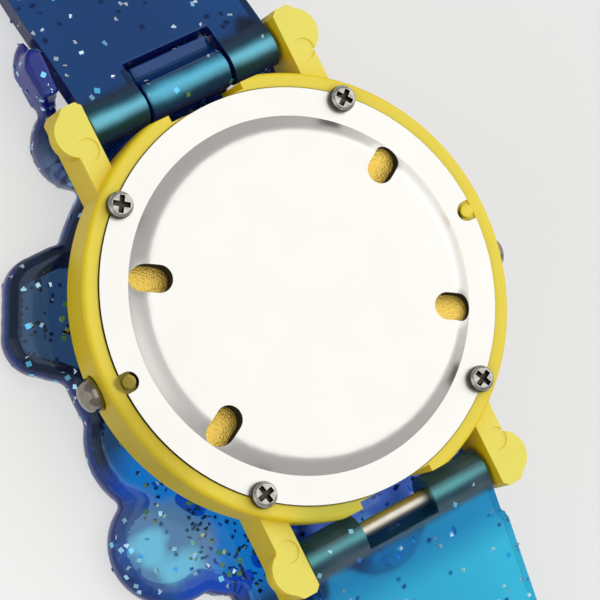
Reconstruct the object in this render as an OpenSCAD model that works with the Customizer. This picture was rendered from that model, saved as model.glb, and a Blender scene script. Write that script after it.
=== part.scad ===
// Toy digital watch with a flip cover, lying face down with its back up.
// The origin is the middle of the raised panel of the back plate, +Z points out of the back,
// and +Y points to the 12 o'clock strap.

/* [Case] */
// Outer radius of the case band
case_r = 18.7; // [17.5:0.1:21]
// Width of the rim that shows round the back plate
rim_w = 1.25; // [1:0.05:1.8]
// Height of the rim above the ledge of the back plate
rim_h = 0.2; // [0.1:0.05:0.4]
// Width of the ledge that the back plate sits on
seat_w = 1.8; // [1.6:0.1:2.2]
// Depth from the ledge to the front of the bezel
case_depth = 7.1; // [6.8:0.1:8]
// Thickness of the front wall behind the bezel
front_wall = 1.5; // [1.3:0.1:1.9]
// Height of the upper band, down to the parting groove
band_h = 2.8; // [2.2:0.1:3.2]
// Step in from the band to the bezel
bezel_step = 1.7; // [1:0.1:2.2]

/* [Back plate] */
// Thickness of the plate
plate_t = 0.4; // [0.3:0.05:0.6]
// Rise of the middle panel above the flange
panel_rise = 0.9; // [0.6:0.1:1.2]
// Width of the flat flange
flange_w = 2.4; // [2.2:0.1:3]
// Width of the slope between flange and panel
slope_w = 1.75; // [1.2:0.05:2.4]
// Length of a sound slot
slot_l = 3.5; // [2.8:0.1:4.2]
// Width of a sound slot
slot_w = 2.3; // [1.6:0.1:2.6]
// Angle of the sound slots from the X axis
slot_angle = 30; // [20:1:36]
// Angle of the screws from the X axis
screw_angle = 50; // [46:1:56]
// Radius of a screw head
screw_head_r = 1.12; // [0.9:0.02:1.3]
// Height of a screw head
screw_head_h = 0.85; // [0.5:0.05:0.9]
// Length of a screw under its head
screw_l = 3.3; // [2.5:0.1:4]

/* [Lugs and bars] */
// Reach of a spring bar beyond the case band
bar_reach = 1.2; // [1:0.1:1.8]
// Depth of a spring bar below the top of the lugs
bar_drop = 2.6; // [2.4:0.1:2.8]
// Radius of a spring bar's tube
bar_r = 0.7; // [0.6:0.05:0.8]
// Radius of a spring bar's pins
pin_r = 0.42; // [0.35:0.01:0.46]
// Travel of a spring bar's pin
pin_travel = 1.25; // [1:0.05:1.4]
// Width of a lug's arm
lug_w = 2.1; // [1.8:0.1:2.6]
// Depth of a lug's arm
lug_depth = 4.5; // [4.2:0.1:4.7]
// Reach of a lug beyond the spring bar
lug_tip = 2.3; // [2:0.1:2.4]
// Radius of the round swell on a lug
bulb_r = 2.1; // [1.8:0.1:2.4]
// Thickness of the round swell
bulb_t = 1.7; // [1.2:0.1:2.2]

/* [Straps] */
// Width of the straps at the case
strap_w = 18; // [16:0.5:20]
// Extra width of the 6 o'clock strap on each side beyond the lugs
lower_flare = 0.45; // [0:0.05:0.8]
// Width of the straps at their far ends
strap_end_w = 15.4; // [13:0.2:16]
// Thickness of the straps
strap_t = 2.1; // [1.6:0.1:2.4]
// Radius of the knuckle round a spring bar
knuckle_r = 1.8; // [1.6:0.05:1.9]
// Angle at which the 12 o'clock strap slopes to the floor
upper_droop = 21; // [18:1:24]
// Angle at which the 6 o'clock strap slopes to the floor
lower_droop = 17; // [15:1:22]
// Inner radius of the bend where a strap meets the floor
strap_bend_r = 12; // [8:1:16]
// Reach of the 12 o'clock strap from its spring bar to its buckle bar
upper_l = 62; // [55:1:75]
// Reach of the 6 o'clock strap from its spring bar to its tip
lower_l = 95; // [85:1:110]
// Width of the notch in the 6 o'clock strap
lower_notch_w = 7; // [6:0.2:9]
// Radius of an adjustment hole
hole_r = 1.1; // [0.9:0.05:1.3]
// Spacing of the adjustment holes
hole_pitch = 6; // [5:0.5:7]

/* [Buckle] */
// Width of the buckle's arms and end bar
buckle_bar_w = 2.2; // [1.8:0.1:2.8]
// Thickness of the buckle frame
buckle_t = 2.4; // [2.2:0.1:2.8]
// Reach of the buckle beyond its hinge bar
buckle_l = 11; // [10:0.5:13]
// Wall of the keeper loop
keeper_wall = 1.1; // [0.8:0.1:1.2]
// Width of the keeper loop along the strap
keeper_l = 5; // [4:0.5:7]

/* [Flip cover] */
// Thickness of the cover
cover_t = 3.2; // [2.8:0.1:3.8]
// Gap between the bezel and the cover
cover_gap = 0.3; // [0.2:0.05:0.5]
// Radius of the cover's rounded edges
cover_round = 1.2; // [0.8:0.1:1.3]
// Width of the hinge tab round the 12 o'clock spring bar
tab_w = 8; // [6:0.2:9]
// Radius of the square lobe's corners
corner_r = 3.2; // [2.6:0.1:3.6]

/* [Pushers] */
// Angle of the left pusher
left_pusher_angle = 179; // [175:1:185]
// Angle of the right pusher
right_pusher_angle = -13; // [-18:1:-8]
// Radius of a pusher's cap
cap_r = 1.45; // [1.2:0.05:1.6]
// Height of a cap above the case band
cap_h = 1.45; // [1.2:0.05:1.8]
// Radius of a pusher's shaft
shaft_r = 0.55; // [0.45:0.01:0.6]
// Travel of a pusher
press = 0.8; // [0.5:0.05:0.9]

/* [Movement] */
// Width of the bezel round the lens
bezel_w = 4; // [3.4:0.1:5]
// Thickness of the lens
lens_t = 0.75; // [0.6:0.05:0.9]
// Radius of the button cell
cell_r = 5.8; // [4:0.1:6]
// Thickness of the button cell
cell_t = 2.05; // [1.6:0.05:2.1]
// Thickness of the circuit board
board_t = 0.6; // [0.5:0.05:0.8]
// Thickness of the display glass
lcd_t = 1; // [0.8:0.05:1.1]
// Radius of the ceramic disc of the sounder
ceramic_r = 9; // [7:0.5:11]

/* [Hidden] */
$fn = 96;
eps = 0.01;
far = 200;

// Clearances
plate_fit = 0.1;
run_fit = 0.08;
pin_fit = 0.05;
slide_fit = 0.1;
lens_fit = 0.05;
side_gap = 0.4;
tab_gap = 0.2;
knuckle_gap = 0.2;

// Levels, from the back to the front
flange_z = -panel_rise;
seat_z = flange_z - plate_t;
rim_z = seat_z + rim_h;
front_z = seat_z - case_depth;
front_in_z = front_z + front_wall;
groove_z = rim_z - band_h;
cover_rear_z = front_z - cover_gap;
floor_z = cover_rear_z - cover_t;

// Radii of the case and the plate
plate_r = case_r - rim_w - plate_fit;
cavity_r = plate_r - seat_w;
bezel_r = case_r - bezel_step;
lens_r = bezel_r - bezel_w;
step_r = plate_r - flange_w;
slope_steps = 8;
slot_r = step_r - slot_l / 2;
rim_round = 0.45;
groove_depth = 0.15;
band_relief = 0.1;
lower_band_r = case_r - band_relief;
bezel_chamfer = 0.6;

// Screws, pegs and the sealing ring under the plate
screw_inset = 0.35;
screw_r = plate_r - screw_inset;
screw_shank_r = 0.45;
screw_hole_r = screw_shank_r + pin_fit;
screw_slit = 0.44;
screw_slit_l = 1.5;
screw_slit_depth = 0.5;
screw_angles = [screw_angle, 180 - screw_angle, 180 + screw_angle, -screw_angle];
slot_angles = [slot_angle, 180 - slot_angle, 180 + slot_angle, -slot_angle];
peg_inset = 0.55;
peg_r = 0.55;
peg_proud = 0.12;
peg_notch_r = 0.85;
ring_land = 0.15;
ring_w = 0.6;
ring_t = 0.5;
ring_fit = 0.02;

// Straps, bars and lugs
bar_y = case_r + bar_reach;
lug_x = strap_w / 2 + side_gap;
lug_step = 1.3;
lug_top_z = rim_z - lug_step;
bar_z = lug_top_z - bar_drop;
lug_sink = 0.2;
lug_root_y = sqrt(pow(cavity_r, 2) - pow(lug_x, 2)) - lug_sink;
lug_tip_y = bar_y + lug_tip;
lug_corner = 0.45;
bulb_in = 1.2;
bulb_back = 0.1;
mark_r = 1;
mark_depth = 0.15;
mark_back = 1.7;
mark_y = bar_y - mark_back;
chord_y = bar_y - knuckle_r - knuckle_gap;
rim_gap_w = 7;
rim_gap_y = plate_r - plate_fit / 2;
bar_bore_r = pin_r + pin_fit;
pin_guide = 2.5;
pin_wire = 0.15;
bar_bore_l = pin_guide + 2 * pin_travel;
pin_in_lug = pin_travel - pin_fit;
pin_l = pin_in_lug + side_gap + pin_guide;
pin_end_gap = 0.2;
lug_hole_l = pin_in_lug + pin_end_gap;
strap_bore_r = bar_r + run_fit;
strap_under = strap_t - knuckle_r;
strap_out_r = strap_bend_r + strap_t;
tab_x = 0.4;
upper_notch_w = tab_w + 2 * tab_gap;
upper_notch_s = 3.2;
lower_notch_s = 1.1;
flare_gap = 1.6;
flare_y = lug_tip + flare_gap;
taper_y = 25;
keeper_lift = 0.3;
upper_lift = keeper_wall + keeper_lift;
hole_count = 7;
first_hole = 18;
narrow_inset = 4;
upper_narrow_y = upper_l - narrow_inset;

// Buckle, tongue and keeper
buckle_pin_r = 0.6;
buckle_knuckle_r = 1.7;
buckle_z = upper_lift + strap_t / 2 - (bar_z - floor_z);
buckle_gap = 0.3;
buckle_in_x = strap_end_w / 2 + buckle_gap;
buckle_out_x = buckle_in_x + buckle_bar_w;
buckle_ear_r = 1.5;
tongue_w = 2.2;
tongue_eye_r = 1.25;
tongue_gap = 0.4;
tongue_notch_w = tongue_w + 2 * tongue_gap;
tongue_notch_back = 1.1;
tongue_notch_l = tongue_eye_r + tongue_notch_back;
tongue_t = 0.8;
tongue_over = 0.4;
tongue_knee = 0.8;
tongue_rest = 0.05;
keeper_inset = 16;
keeper_y = upper_l - keeper_inset;
keeper_back = 8;
keeper_gap = 0.25;
keeper_slack = 0.5;
keeper_free = strap_t + keeper_slack;

// Flip cover: each lobe is an angle, a reach of its middle beyond the case band and a radius
cover_inset = 0.05;
cover_base_r = case_r - cover_inset;
lobes = [
    [202.5, -4.15, 6.45],
    [219, 2.98, 5.1],
    [232, 1.2, 4.6],
    [245, 5, 4],
    [270, 1, 4.6],
    [300, 0.3, 4.3],
    [322, -2.6, 4.5],
    [344, -2.6, 4.6],
    [23, -2.2, 4.4],
];
// The middles of the square lobe's corners, each an angle and a reach beyond the case band,
// the steps in which its sides are laid out, and the reach of its root
corners = [[147.4, -0.9], [150.7, 0.88], [161.6, 1.19], [165, -1.51]];
side_steps = [2, 3, 2];
lobe_root = -2.7;
corner_points = [for (c = corners) (case_r + c[1]) * [cos(c[0]), sin(c[0])]];
side_points = [for (i = [0:len(side_steps) - 1]) for (k = [0:side_steps[i] - 1])
    corner_points[i] + (corner_points[i + 1] - corner_points[i]) * k / side_steps[i]];
root_points = [for (i = [len(corners) - 1, 0])
    (case_r + lobe_root) * [cos(corners[i][0]), sin(corners[i][0])]];
dish_w = 0.6;
dish_r = lens_r + dish_w;
dish_depth = 0.6;
bay_gap = 0.05;
bay_x = lug_x + bay_gap;
bay_back = 2;
bay_y = bar_y - bay_back;
shoulder_back = 0.4;
shoulder_y = bar_y - shoulder_back;
shoulder_in = 1.1;
shoulder_r = 3.95;
horn_reach = 6.4;
horn_y = bar_y + horn_reach;
horn_in = 1.4;
horn_r = 3.1;
horn_rise = 1.6;
horn_t = 2.8;
rail_w = 1.1;
rail_root = 6.5;
web_back = 2.7;
web_front = 1.3;
web_drop = 0.6;

// Movement, from the front wall backwards
board_rise = 1.3;
board_z = front_in_z + board_rise;
board_top_z = board_z + board_t;
frame_fit = 0.15;
frame_r = cavity_r - frame_fit;
frame_wall = 0.8;
frame_in_r = frame_r - frame_wall;
frame_drop = 0.5;
frame_top_z = seat_z - frame_drop;
board_fit = 0.2;
board_r = frame_in_r - board_fit;
lens_ledge = 0.8;
window_r = lens_r - lens_ledge;
lens_inset = 0.05;
lens_z = front_z + lens_inset;
mask_z = lens_z + lens_t;
mask_t = 0.15;
lcd_z = mask_z + mask_t;
lcd_back_z = lcd_z + lcd_t;
lcd_corner_angle = 34;
lcd_edge = 0.7;
lcd_half_d = window_r - lcd_edge;
lcd_w = 2 * lcd_half_d * cos(lcd_corner_angle);
lcd_h = 2 * lcd_half_d * sin(lcd_corner_angle);
lcd_ledge = 1.6;
lcd_lip = 0.4;
lcd_border = 1;
lcd_room = 0.7;
mask_window_w = lcd_w - 2 * lcd_border;
mask_window_h = lcd_h - 4 * lcd_border;
mask_fit = 0.1;
reflector_t = 0.1;
zebra_w = 1.1;
disc_t = 0.2;
disc_inset = 0.2;
disc_r = frame_r - disc_inset;
disc_z = frame_top_z;
ceramic_t = 0.15;
quartz_r = 0.95;
quartz_l = 6;
quartz_x = 3;
quartz_inset = 4.9;
quartz_y = quartz_inset - board_r;
contact_r = 0.9;
contact_wire = 0.25;
contact_inset = 5.4;
contact_x = board_r - contact_inset;
contact_gap = 2.65;
contact_y = quartz_y + quartz_r + contact_gap + contact_r;
cell_y = 4.5;
cell_gap = 0.05;
clamp_t = 0.2;
clamp_w = 4;
clamp_room = 0.4;
blob_x = -5;
blob_y = -6.5;
blob_r = 2.4;
blob_h = 0.8;

// Pushers
pusher_rise = 0.85;
pusher_z = board_top_z + pusher_rise;
cap_fit_r = cap_r + slide_fit;
band_under = 0.1;
band_bottom_z = pusher_z - cap_fit_r - band_under;
shaft_fit = 0.07;
shaft_bore_r = shaft_r + shaft_fit;
bore_l = 1.15;
pocket_floor_r = cavity_r + bore_l;
cap_skirt = 0.5;
cap_in = case_r - cap_skirt;
cap_edge = case_r + cap_skirt;
leaf_inset = 0.6;
leaf_out = board_r - leaf_inset;
leaf_t = 0.15;
leaf_w = 2.4;
leaf_h = 1.6;
leaf_gap = 0.05;
shaft_end = leaf_out + leaf_gap + press;
seal_wire = 0.125;
seal_r = 0.465;
seal_inset = 0.2;
seal_c = pocket_floor_r - seal_inset;
seal_fit = 0.01;
seal_groove_r = seal_r - seal_wire - seal_fit;
seal_groove_w = 2 * seal_wire + 4 * seal_fit;
clip_r = 0.8;
clip_t = 0.25;
clip_gap = 0.1;
clip_out = cavity_r - clip_gap;
spring_in_r = 0.68;
spring_out_r = 1.15;
pusher_window_w = 2.6;
pusher_window_h = 2.1;

// Ring with a flat top and bottom
module ring(outer, inner, h) {
    difference() {
        cylinder(r = outer, h = h);
        translate([0, 0, -eps]) cylinder(r = inner, h = h + 2 * eps);
    }
}

// Slot with round ends along X, centred
module obround(l, w, h) {
    for (side = [-1, 1]) {
        translate([side * (l - w) / 2, 0, 0]) cylinder(d = w, h = h, center = true);
    }
    cube([l - w, w, h], center = true);
}

// Rod along X, centred
module rod_x(r, l) {
    rotate([0, 90, 0]) cylinder(r = r, h = l, center = true);
}

// Box given by its lowest and highest corners
module block(low, high) {
    translate(low) cube(high - low);
}

// Outline in Y and Z drawn out along X, centred
module across(w) {
    rotate([90, 0, 90]) linear_extrude(height = w, center = true) children();
}

// Copy into one of the four corners: side is -1 or 1 in X and end is -1 or 1 in Y
module corner(side, end) {
    mirror([side < 0 ? 1 : 0, 0, 0]) mirror([0, end < 0 ? 1 : 0, 0]) children();
}

// Turned solid of the case before anything is cut out of it
module case_blank() {
    rim_arc = [for (a = [90:-15:0])
        [case_r - rim_round + rim_round * cos(a), rim_z - rim_round + rim_round * sin(a)]];
    rotate_extrude() polygon(concat(
        [[0, rim_z]],
        rim_arc,
        [
            [case_r, groove_z + groove_depth],
            [case_r - groove_depth, groove_z],
            [lower_band_r, groove_z - groove_depth],
            [lower_band_r, band_bottom_z],
            [bezel_r, band_bottom_z],
            [bezel_r, front_z + bezel_chamfer],
            [bezel_r - bezel_chamfer, front_z],
            [0, front_z],
        ]
    ));
}

// Lug in the +X, +Y corner: a deep arm for the bar and a thin round swell at its top
module lug() {
    arm_x = lug_x + lug_w;
    translate([0, 0, lug_top_z - lug_depth]) linear_extrude(height = lug_depth) polygon([
        [lug_x, lug_root_y],
        [lug_x, lug_tip_y - lug_corner],
        [lug_x + lug_corner, lug_tip_y],
        [arm_x - lug_corner, lug_tip_y],
        [arm_x, lug_tip_y - lug_corner],
        [arm_x, lug_root_y],
    ]);
    translate([0, 0, lug_top_z - bulb_t]) intersection() {
        translate([lug_x + bulb_in, bar_y - bulb_back, 0]) cylinder(r = bulb_r, h = bulb_t);
        block([lug_x, 0, 0], [far, far, bulb_t]);
    }
}

// What the pushers need cut out of the case wall
module pusher_bore() {
    translate([0, 0, pusher_z]) rotate([0, 90, 0]) {
        cylinder(r = shaft_bore_r, h = far);
        translate([0, 0, pocket_floor_r]) cylinder(r = cap_fit_r, h = far);
    }
}

module case_body() {
    color("gold") {
        difference() {
            union() {
                case_blank();
                for (side = [-1, 1], end = [-1, 1]) corner(side, end) lug();
            }
            translate([0, 0, seat_z]) cylinder(r = plate_r + plate_fit, h = far);
            translate([0, 0, front_in_z]) cylinder(r = cavity_r, h = far);
            cylinder(r = window_r, h = 2 * far, center = true);
            translate([0, 0, mask_z - far]) cylinder(r = lens_r + lens_fit, h = far);
            translate([0, 0, seat_z - ring_t])
                ring(cavity_r + ring_land + ring_w, cavity_r + ring_land, far);
            for (a = screw_angles) rotate(a)
                translate([screw_r, 0, seat_z - screw_l]) cylinder(r = screw_hole_r, h = far);
            for (a = [left_pusher_angle, right_pusher_angle]) rotate(a) pusher_bore();
            for (end = [-1, 1]) corner(1, end) {
                block([-lug_x + eps, chord_y, -far], [lug_x - eps, far, far]);
                block([-rim_gap_w / 2, rim_gap_y, -far], [rim_gap_w / 2, far, far]);
            }
            for (side = [-1, 1], end = [-1, 1]) corner(side, end) {
                translate([lug_x + lug_hole_l / 2 - eps, bar_y, bar_z])
                    rod_x(bar_bore_r, lug_hole_l + eps);
                translate([lug_x + bulb_in, mark_y, lug_top_z - mark_depth]) cylinder(r = mark_r, h = far);
            }
        }
        for (side = [-1, 1])
            translate([side * (plate_r - peg_inset), 0, seat_z - eps])
                cylinder(r = peg_r, h = plate_t + peg_proud + eps);
    }
}

module back_plate() {
    slope = [for (i = [0:slope_steps])
        [step_r - slope_w * i / slope_steps, flange_z + panel_rise * sin(90 * i / slope_steps)]];
    under = [for (i = [slope_steps:-1:0])
        [slope[i][0] - plate_t * (1 - i / slope_steps) / 2, slope[i][1] - plate_t]];
    color("silver") difference() {
        rotate_extrude() polygon(concat(
            [[plate_r, seat_z], [plate_r, flange_z]],
            slope,
            [[0, 0], [0, -plate_t]],
            under
        ));
        for (a = slot_angles) rotate(a) translate([slot_r, 0, 0]) obround(slot_l, slot_w, far);
        for (a = screw_angles) rotate(a) {
            translate([screw_r, 0, 0]) cylinder(r = screw_hole_r, h = far, center = true);
            block([screw_r, -screw_hole_r, -far], [far, screw_hole_r, far]);
        }
        for (side = [0, 180]) rotate(side) {
            translate([plate_r - peg_inset, 0, 0]) cylinder(r = peg_notch_r, h = far, center = true);
            block([plate_r - peg_inset, -peg_notch_r, -far], [far, peg_notch_r, far]);
        }
    }
}

// Pan head screw with a cross recess, its head on z = 0
module screw() {
    crown = 0.5 * screw_head_h;
    head_arc = [for (a = [0:15:90])
        [screw_head_r - crown + crown * cos(a), screw_head_h - crown + crown * sin(a)]];
    difference() {
        union() {
            rotate_extrude() polygon(concat([[0, 0], [screw_head_r, 0]], head_arc, [[0, screw_head_h]]));
            translate([0, 0, -screw_l]) cylinder(r = screw_shank_r, h = screw_l + eps);
        }
        for (turn = [0, 90]) rotate(turn)
            translate([0, 0, screw_head_h])
                cube([screw_slit_l, screw_slit, 2 * screw_slit_depth], center = true);
    }
}

module back_screws() {
    color("lightsteelblue")
        for (a = screw_angles) rotate(a) translate([screw_r, 0, flange_z]) screw();
}

module back_seal() {
    color("dimgray") translate([0, 0, seat_z - ring_t])
        ring(cavity_r + ring_land + ring_w - ring_fit, cavity_r + ring_land + ring_fit, ring_t);
}

module sounder_disc() {
    color("goldenrod") translate([0, 0, disc_z]) cylinder(r = disc_r, h = disc_t);
}

module sounder_ceramic() {
    color("ivory") translate([0, 0, disc_z - ceramic_t]) cylinder(r = ceramic_r, h = ceramic_t);
}

module sounder_contact() {
    color("silver") translate([contact_x, contact_y, board_top_z])
        ring(contact_r, contact_r - contact_wire, disc_z - ceramic_t - board_top_z);
}

module movement_frame() {
    color("white") difference() {
        translate([0, 0, front_in_z]) cylinder(r = frame_r, h = frame_top_z - front_in_z);
        translate([0, 0, board_z]) cylinder(r = frame_in_r, h = far);
        cube([lcd_w + 2 * lcd_room, lcd_h + 2 * lcd_room, far], center = true);
        for (a = [left_pusher_angle, right_pusher_angle]) rotate(a)
            block([leaf_out, -pusher_window_w / 2, board_top_z],
                [far, pusher_window_w / 2, board_top_z + pusher_window_h]);
    }
}

module circuit_board() {
    color("darkgreen") translate([0, 0, board_z]) cylinder(r = board_r, h = board_t);
}

module chip_cap() {
    dome = [for (a = [0:15:90]) [blob_r * cos(a), blob_h * sin(a)]];
    color("black") translate([blob_x, blob_y, board_top_z])
        rotate_extrude() polygon(concat([[0, 0]], dome));
}

module quartz_can() {
    color("lightgray") translate([quartz_x, quartz_y, board_top_z + quartz_r + eps])
        rod_x(quartz_r, quartz_l);
}

module button_cell() {
    rim = 0.25;
    color("lightgray") translate([0, cell_y, board_top_z + cell_gap]) {
        cylinder(r = cell_r - 3 * rim, h = rim + eps);
        translate([0, 0, rim]) cylinder(r = cell_r, h = cell_t - rim);
    }
}

module cell_clamp() {
    leg_in = cell_r + clamp_room;
    leg_out = leg_in + clamp_t;
    under_z = board_top_z + 2 * cell_gap + cell_t;
    color("silver") translate([0, cell_y, 0]) {
        block([-leg_out, -clamp_w / 2, under_z], [leg_out, clamp_w / 2, under_z + clamp_t]);
        for (side = [-1, 1]) corner(side, 1)
            block([leg_in, -clamp_w / 2, board_top_z], [leg_out, clamp_w / 2, under_z + clamp_t]);
    }
}

module switch_leaves() {
    color("goldenrod") for (a = [left_pusher_angle, right_pusher_angle]) rotate(a)
        block([leaf_out - leaf_t, -leaf_w / 2, board_top_z],
            [leaf_out, leaf_w / 2, board_top_z + leaf_h]);
}

module display_glass() {
    color("lightcyan") {
        translate([0, 0, lcd_z + lcd_t / 4])
            cube([lcd_w, lcd_h - 2 * lcd_lip, lcd_t / 2], center = true);
        translate([0, 0, lcd_z + lcd_t * 3 / 4]) cube([lcd_w, lcd_h, lcd_t / 2], center = true);
    }
}

module display_reflector() {
    color("gainsboro") translate([0, 0, lcd_back_z + reflector_t / 2])
        cube([lcd_w - lcd_border, lcd_h - 2 * lcd_ledge, reflector_t], center = true);
}

module display_contacts() {
    color("hotpink") for (end = [-1, 1])
        translate([0, end * (lcd_h - zebra_w) / 2, (lcd_back_z + board_z) / 2])
            cube([lcd_w - lcd_border, zebra_w, board_z - lcd_back_z], center = true);
}

module dial_mask() {
    color("midnightblue") difference() {
        translate([0, 0, mask_z]) cylinder(r = window_r - mask_fit, h = mask_t);
        translate([0, 0, mask_z]) cube([mask_window_w, mask_window_h, 4 * mask_t], center = true);
    }
}

module lens() {
    color("aliceblue") translate([0, 0, lens_z]) cylinder(r = lens_r, h = lens_t);
}

// Pusher turned about X, which points out of the case
module pusher() {
    dome = [for (a = [0:15:90])
        [cap_r * cos(a), cap_edge + (case_r + cap_h - cap_edge) * sin(a)]];
    rotate([0, 90, 0]) rotate_extrude() polygon(concat(
        [
            [0, shaft_end],
            [shaft_r, shaft_end],
            [shaft_r, seal_c - seal_groove_w / 2],
            [seal_groove_r, seal_c - seal_groove_w / 2],
            [seal_groove_r, seal_c + seal_groove_w / 2],
            [shaft_r, seal_c + seal_groove_w / 2],
            [shaft_r, cap_in],
            [cap_r, cap_in],
        ],
        dome
    ));
}

// Moves a pusher's piece from the X axis to its place in the case
module at_pusher(angle) {
    rotate(angle) translate([0, 0, pusher_z]) children();
}

module pusher_spring() {
    translate([pocket_floor_r, 0, 0]) rotate([0, 90, 0])
        ring(spring_out_r, spring_in_r, cap_in - pocket_floor_r);
}

module pusher_seal() {
    translate([seal_c, 0, 0]) rotate([0, 90, 0])
        rotate_extrude() translate([seal_r, 0]) circle(r = seal_wire);
}

module pusher_clip() {
    translate([clip_out - clip_t, 0, 0]) rotate([0, 90, 0]) ring(clip_r, shaft_r + eps, clip_t);
}

module left_pusher() {
    color("silver") at_pusher(left_pusher_angle) pusher();
}

module left_pusher_spring() {
    color("gray") at_pusher(left_pusher_angle) pusher_spring();
}

module left_pusher_seal() {
    color("black") at_pusher(left_pusher_angle) pusher_seal();
}

module left_pusher_clip() {
    color("gray") at_pusher(left_pusher_angle) pusher_clip();
}

module right_pusher() {
    color("silver") at_pusher(right_pusher_angle) pusher();
}

module right_pusher_spring() {
    color("gray") at_pusher(right_pusher_angle) pusher_spring();
}

module right_pusher_seal() {
    color("black") at_pusher(right_pusher_angle) pusher_seal();
}

module right_pusher_clip() {
    color("gray") at_pusher(right_pusher_angle) pusher_clip();
}

// Tube of a spring bar, blind from both ends
module bar_tube(end) {
    corner(1, end) translate([0, bar_y, bar_z]) difference() {
        rod_x(bar_r, strap_w);
        for (side = [-1, 1])
            translate([side * (strap_w - bar_bore_l + eps) / 2, 0, 0]) rod_x(bar_bore_r, bar_bore_l + eps);
    }
}

// Pin of a spring bar, out in its lug
module bar_pin(side, end) {
    corner(side, end) translate([lug_x + pin_in_lug - pin_l / 2, bar_y, bar_z]) rod_x(pin_r, pin_l);
}

// Spring behind a pin, inside the tube
module bar_spring(side, end) {
    from_x = strap_w / 2 - bar_bore_l;
    to_x = lug_x + pin_in_lug - pin_l;
    corner(side, end) translate([from_x, bar_y, bar_z]) rotate([0, 90, 0])
        ring(pin_r, pin_r - pin_wire, to_x - from_x);
}

module upper_bar() {
    color("silver") bar_tube(1);
}

module upper_left_pin() {
    color("silver") bar_pin(-1, 1);
}

module upper_right_pin() {
    color("silver") bar_pin(1, 1);
}

module upper_left_pin_spring() {
    color("gray") bar_spring(-1, 1);
}

module upper_right_pin_spring() {
    color("gray") bar_spring(1, 1);
}

module lower_bar() {
    color("silver") bar_tube(-1);
}

module lower_left_pin() {
    color("silver") bar_pin(-1, -1);
}

module lower_right_pin() {
    color("silver") bar_pin(1, -1);
}

module lower_left_pin_spring() {
    color("gray") bar_spring(-1, -1);
}

module lower_right_pin_spring() {
    color("gray") bar_spring(1, -1);
}

// Length of a strap's slope before it bends to lie flat, for a slope and a height of its flat run
function slope_l(droop, drop) =
    (drop - strap_under * cos(droop) - strap_out_r * (1 - cos(droop))) / sin(droop);

// Middle of that bend, from the spring bar
function bend_mid(droop, drop) = [
    slope_l(droop, drop) * cos(droop) + (strap_out_r - strap_under) * sin(droop),
    strap_out_r - drop
];

// Side view of a strap from its spring bar: knuckle, slope, bend and flat run
module strap_side(droop, drop, reach) {
    mid = bend_mid(droop, drop);
    circle(r = knuckle_r);
    rotate(-droop) translate([0, -strap_under]) square([slope_l(droop, drop) + eps, strap_t]);
    translate(mid) intersection() {
        difference() {
            circle(r = strap_out_r);
            circle(r = strap_bend_r);
        }
        polygon([[0, 0], far * [-sin(droop), -cos(droop)], [0, -far]]);
    }
    translate([mid[0] - eps, -drop]) square([reach - mid[0] + eps, strap_t]);
}

// Width of a strap at a place along it, which narrows from taper_y to narrow_y
function width_at(y, narrow_y) =
    strap_w - (strap_w - strap_end_w) * (y - taper_y) / (narrow_y - taper_y);

// Plan of a strap that flares beyond the lugs and then narrows to its far end
module strap_plan(flare, narrow_y, reach) {
    half_w = strap_w / 2;
    half_end = strap_end_w / 2;
    edge = [
        [half_w, -far],
        [half_w, flare_y],
        [half_w + flare, flare_y + 2 * flare + eps],
        [half_w + flare, taper_y],
        [half_end, narrow_y],
        [half_end, reach],
    ];
    polygon(concat(edge, [for (i = [len(edge) - 1:-1:0]) [-edge[i][0], edge[i][1]]]));
}

// Notch over the spring bar, square to the slope of the strap
module bar_notch(droop, w, reach) {
    rotate([-droop, 0, 0]) block([-w / 2, -far, -far], [w / 2, reach, far]);
}

module upper_strap() {
    drop = bar_z - floor_z - upper_lift;
    color("steelblue") translate([0, bar_y, bar_z]) difference() {
        intersection() {
            across(strap_w) {
                strap_side(upper_droop, drop, upper_l);
                translate([upper_l, buckle_z]) circle(r = buckle_knuckle_r);
            }
            translate([0, 0, -far]) linear_extrude(height = 2 * far)
                strap_plan(0, upper_narrow_y, upper_l + buckle_knuckle_r);
        }
        rod_x(strap_bore_r, far);
        translate([tab_x, 0, 0]) bar_notch(upper_droop, upper_notch_w, upper_notch_s);
        translate([0, upper_l, buckle_z]) rod_x(buckle_pin_r + run_fit, far);
        block([-tongue_notch_w / 2, upper_l - tongue_notch_l, -far], [tongue_notch_w / 2, far, far]);
    }
}

module lower_strap() {
    drop = bar_z - floor_z;
    tip_r = strap_end_w / 2;
    color("steelblue") mirror([0, 1, 0]) translate([0, bar_y, bar_z]) difference() {
        intersection() {
            across(strap_w + 2 * lower_flare) strap_side(lower_droop, drop, lower_l);
            translate([0, 0, -far]) linear_extrude(height = 2 * far) {
                strap_plan(lower_flare, lower_l - tip_r - eps, lower_l - tip_r);
                translate([0, lower_l - tip_r]) circle(r = tip_r);
            }
        }
        rod_x(strap_bore_r, far);
        bar_notch(lower_droop, lower_notch_w, lower_notch_s);
        for (i = [0:hole_count - 1])
            translate([0, lower_l - first_hole - i * hole_pitch, -far]) cylinder(r = hole_r, h = 2 * far);
    }
}

module keeper_loop() {
    in_x = width_at(keeper_y - keeper_back - keeper_l / 2, upper_narrow_y) / 2 + keeper_gap;
    low_z = upper_lift - keeper_gap;
    high_z = upper_lift + strap_t + keeper_free;
    color("steelblue") translate([0, bar_y + keeper_y, floor_z]) difference() {
        block([-in_x - keeper_wall, -keeper_l / 2, low_z - keeper_wall],
            [in_x + keeper_wall, keeper_l / 2, high_z + keeper_wall]);
        block([-in_x, -far, low_z], [in_x, far, high_z]);
    }
}

// Moves a piece from the buckle's hinge bar to its place at the end of the strap
module at_buckle() {
    translate([0, bar_y + upper_l, bar_z + buckle_z]) children();
}

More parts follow.
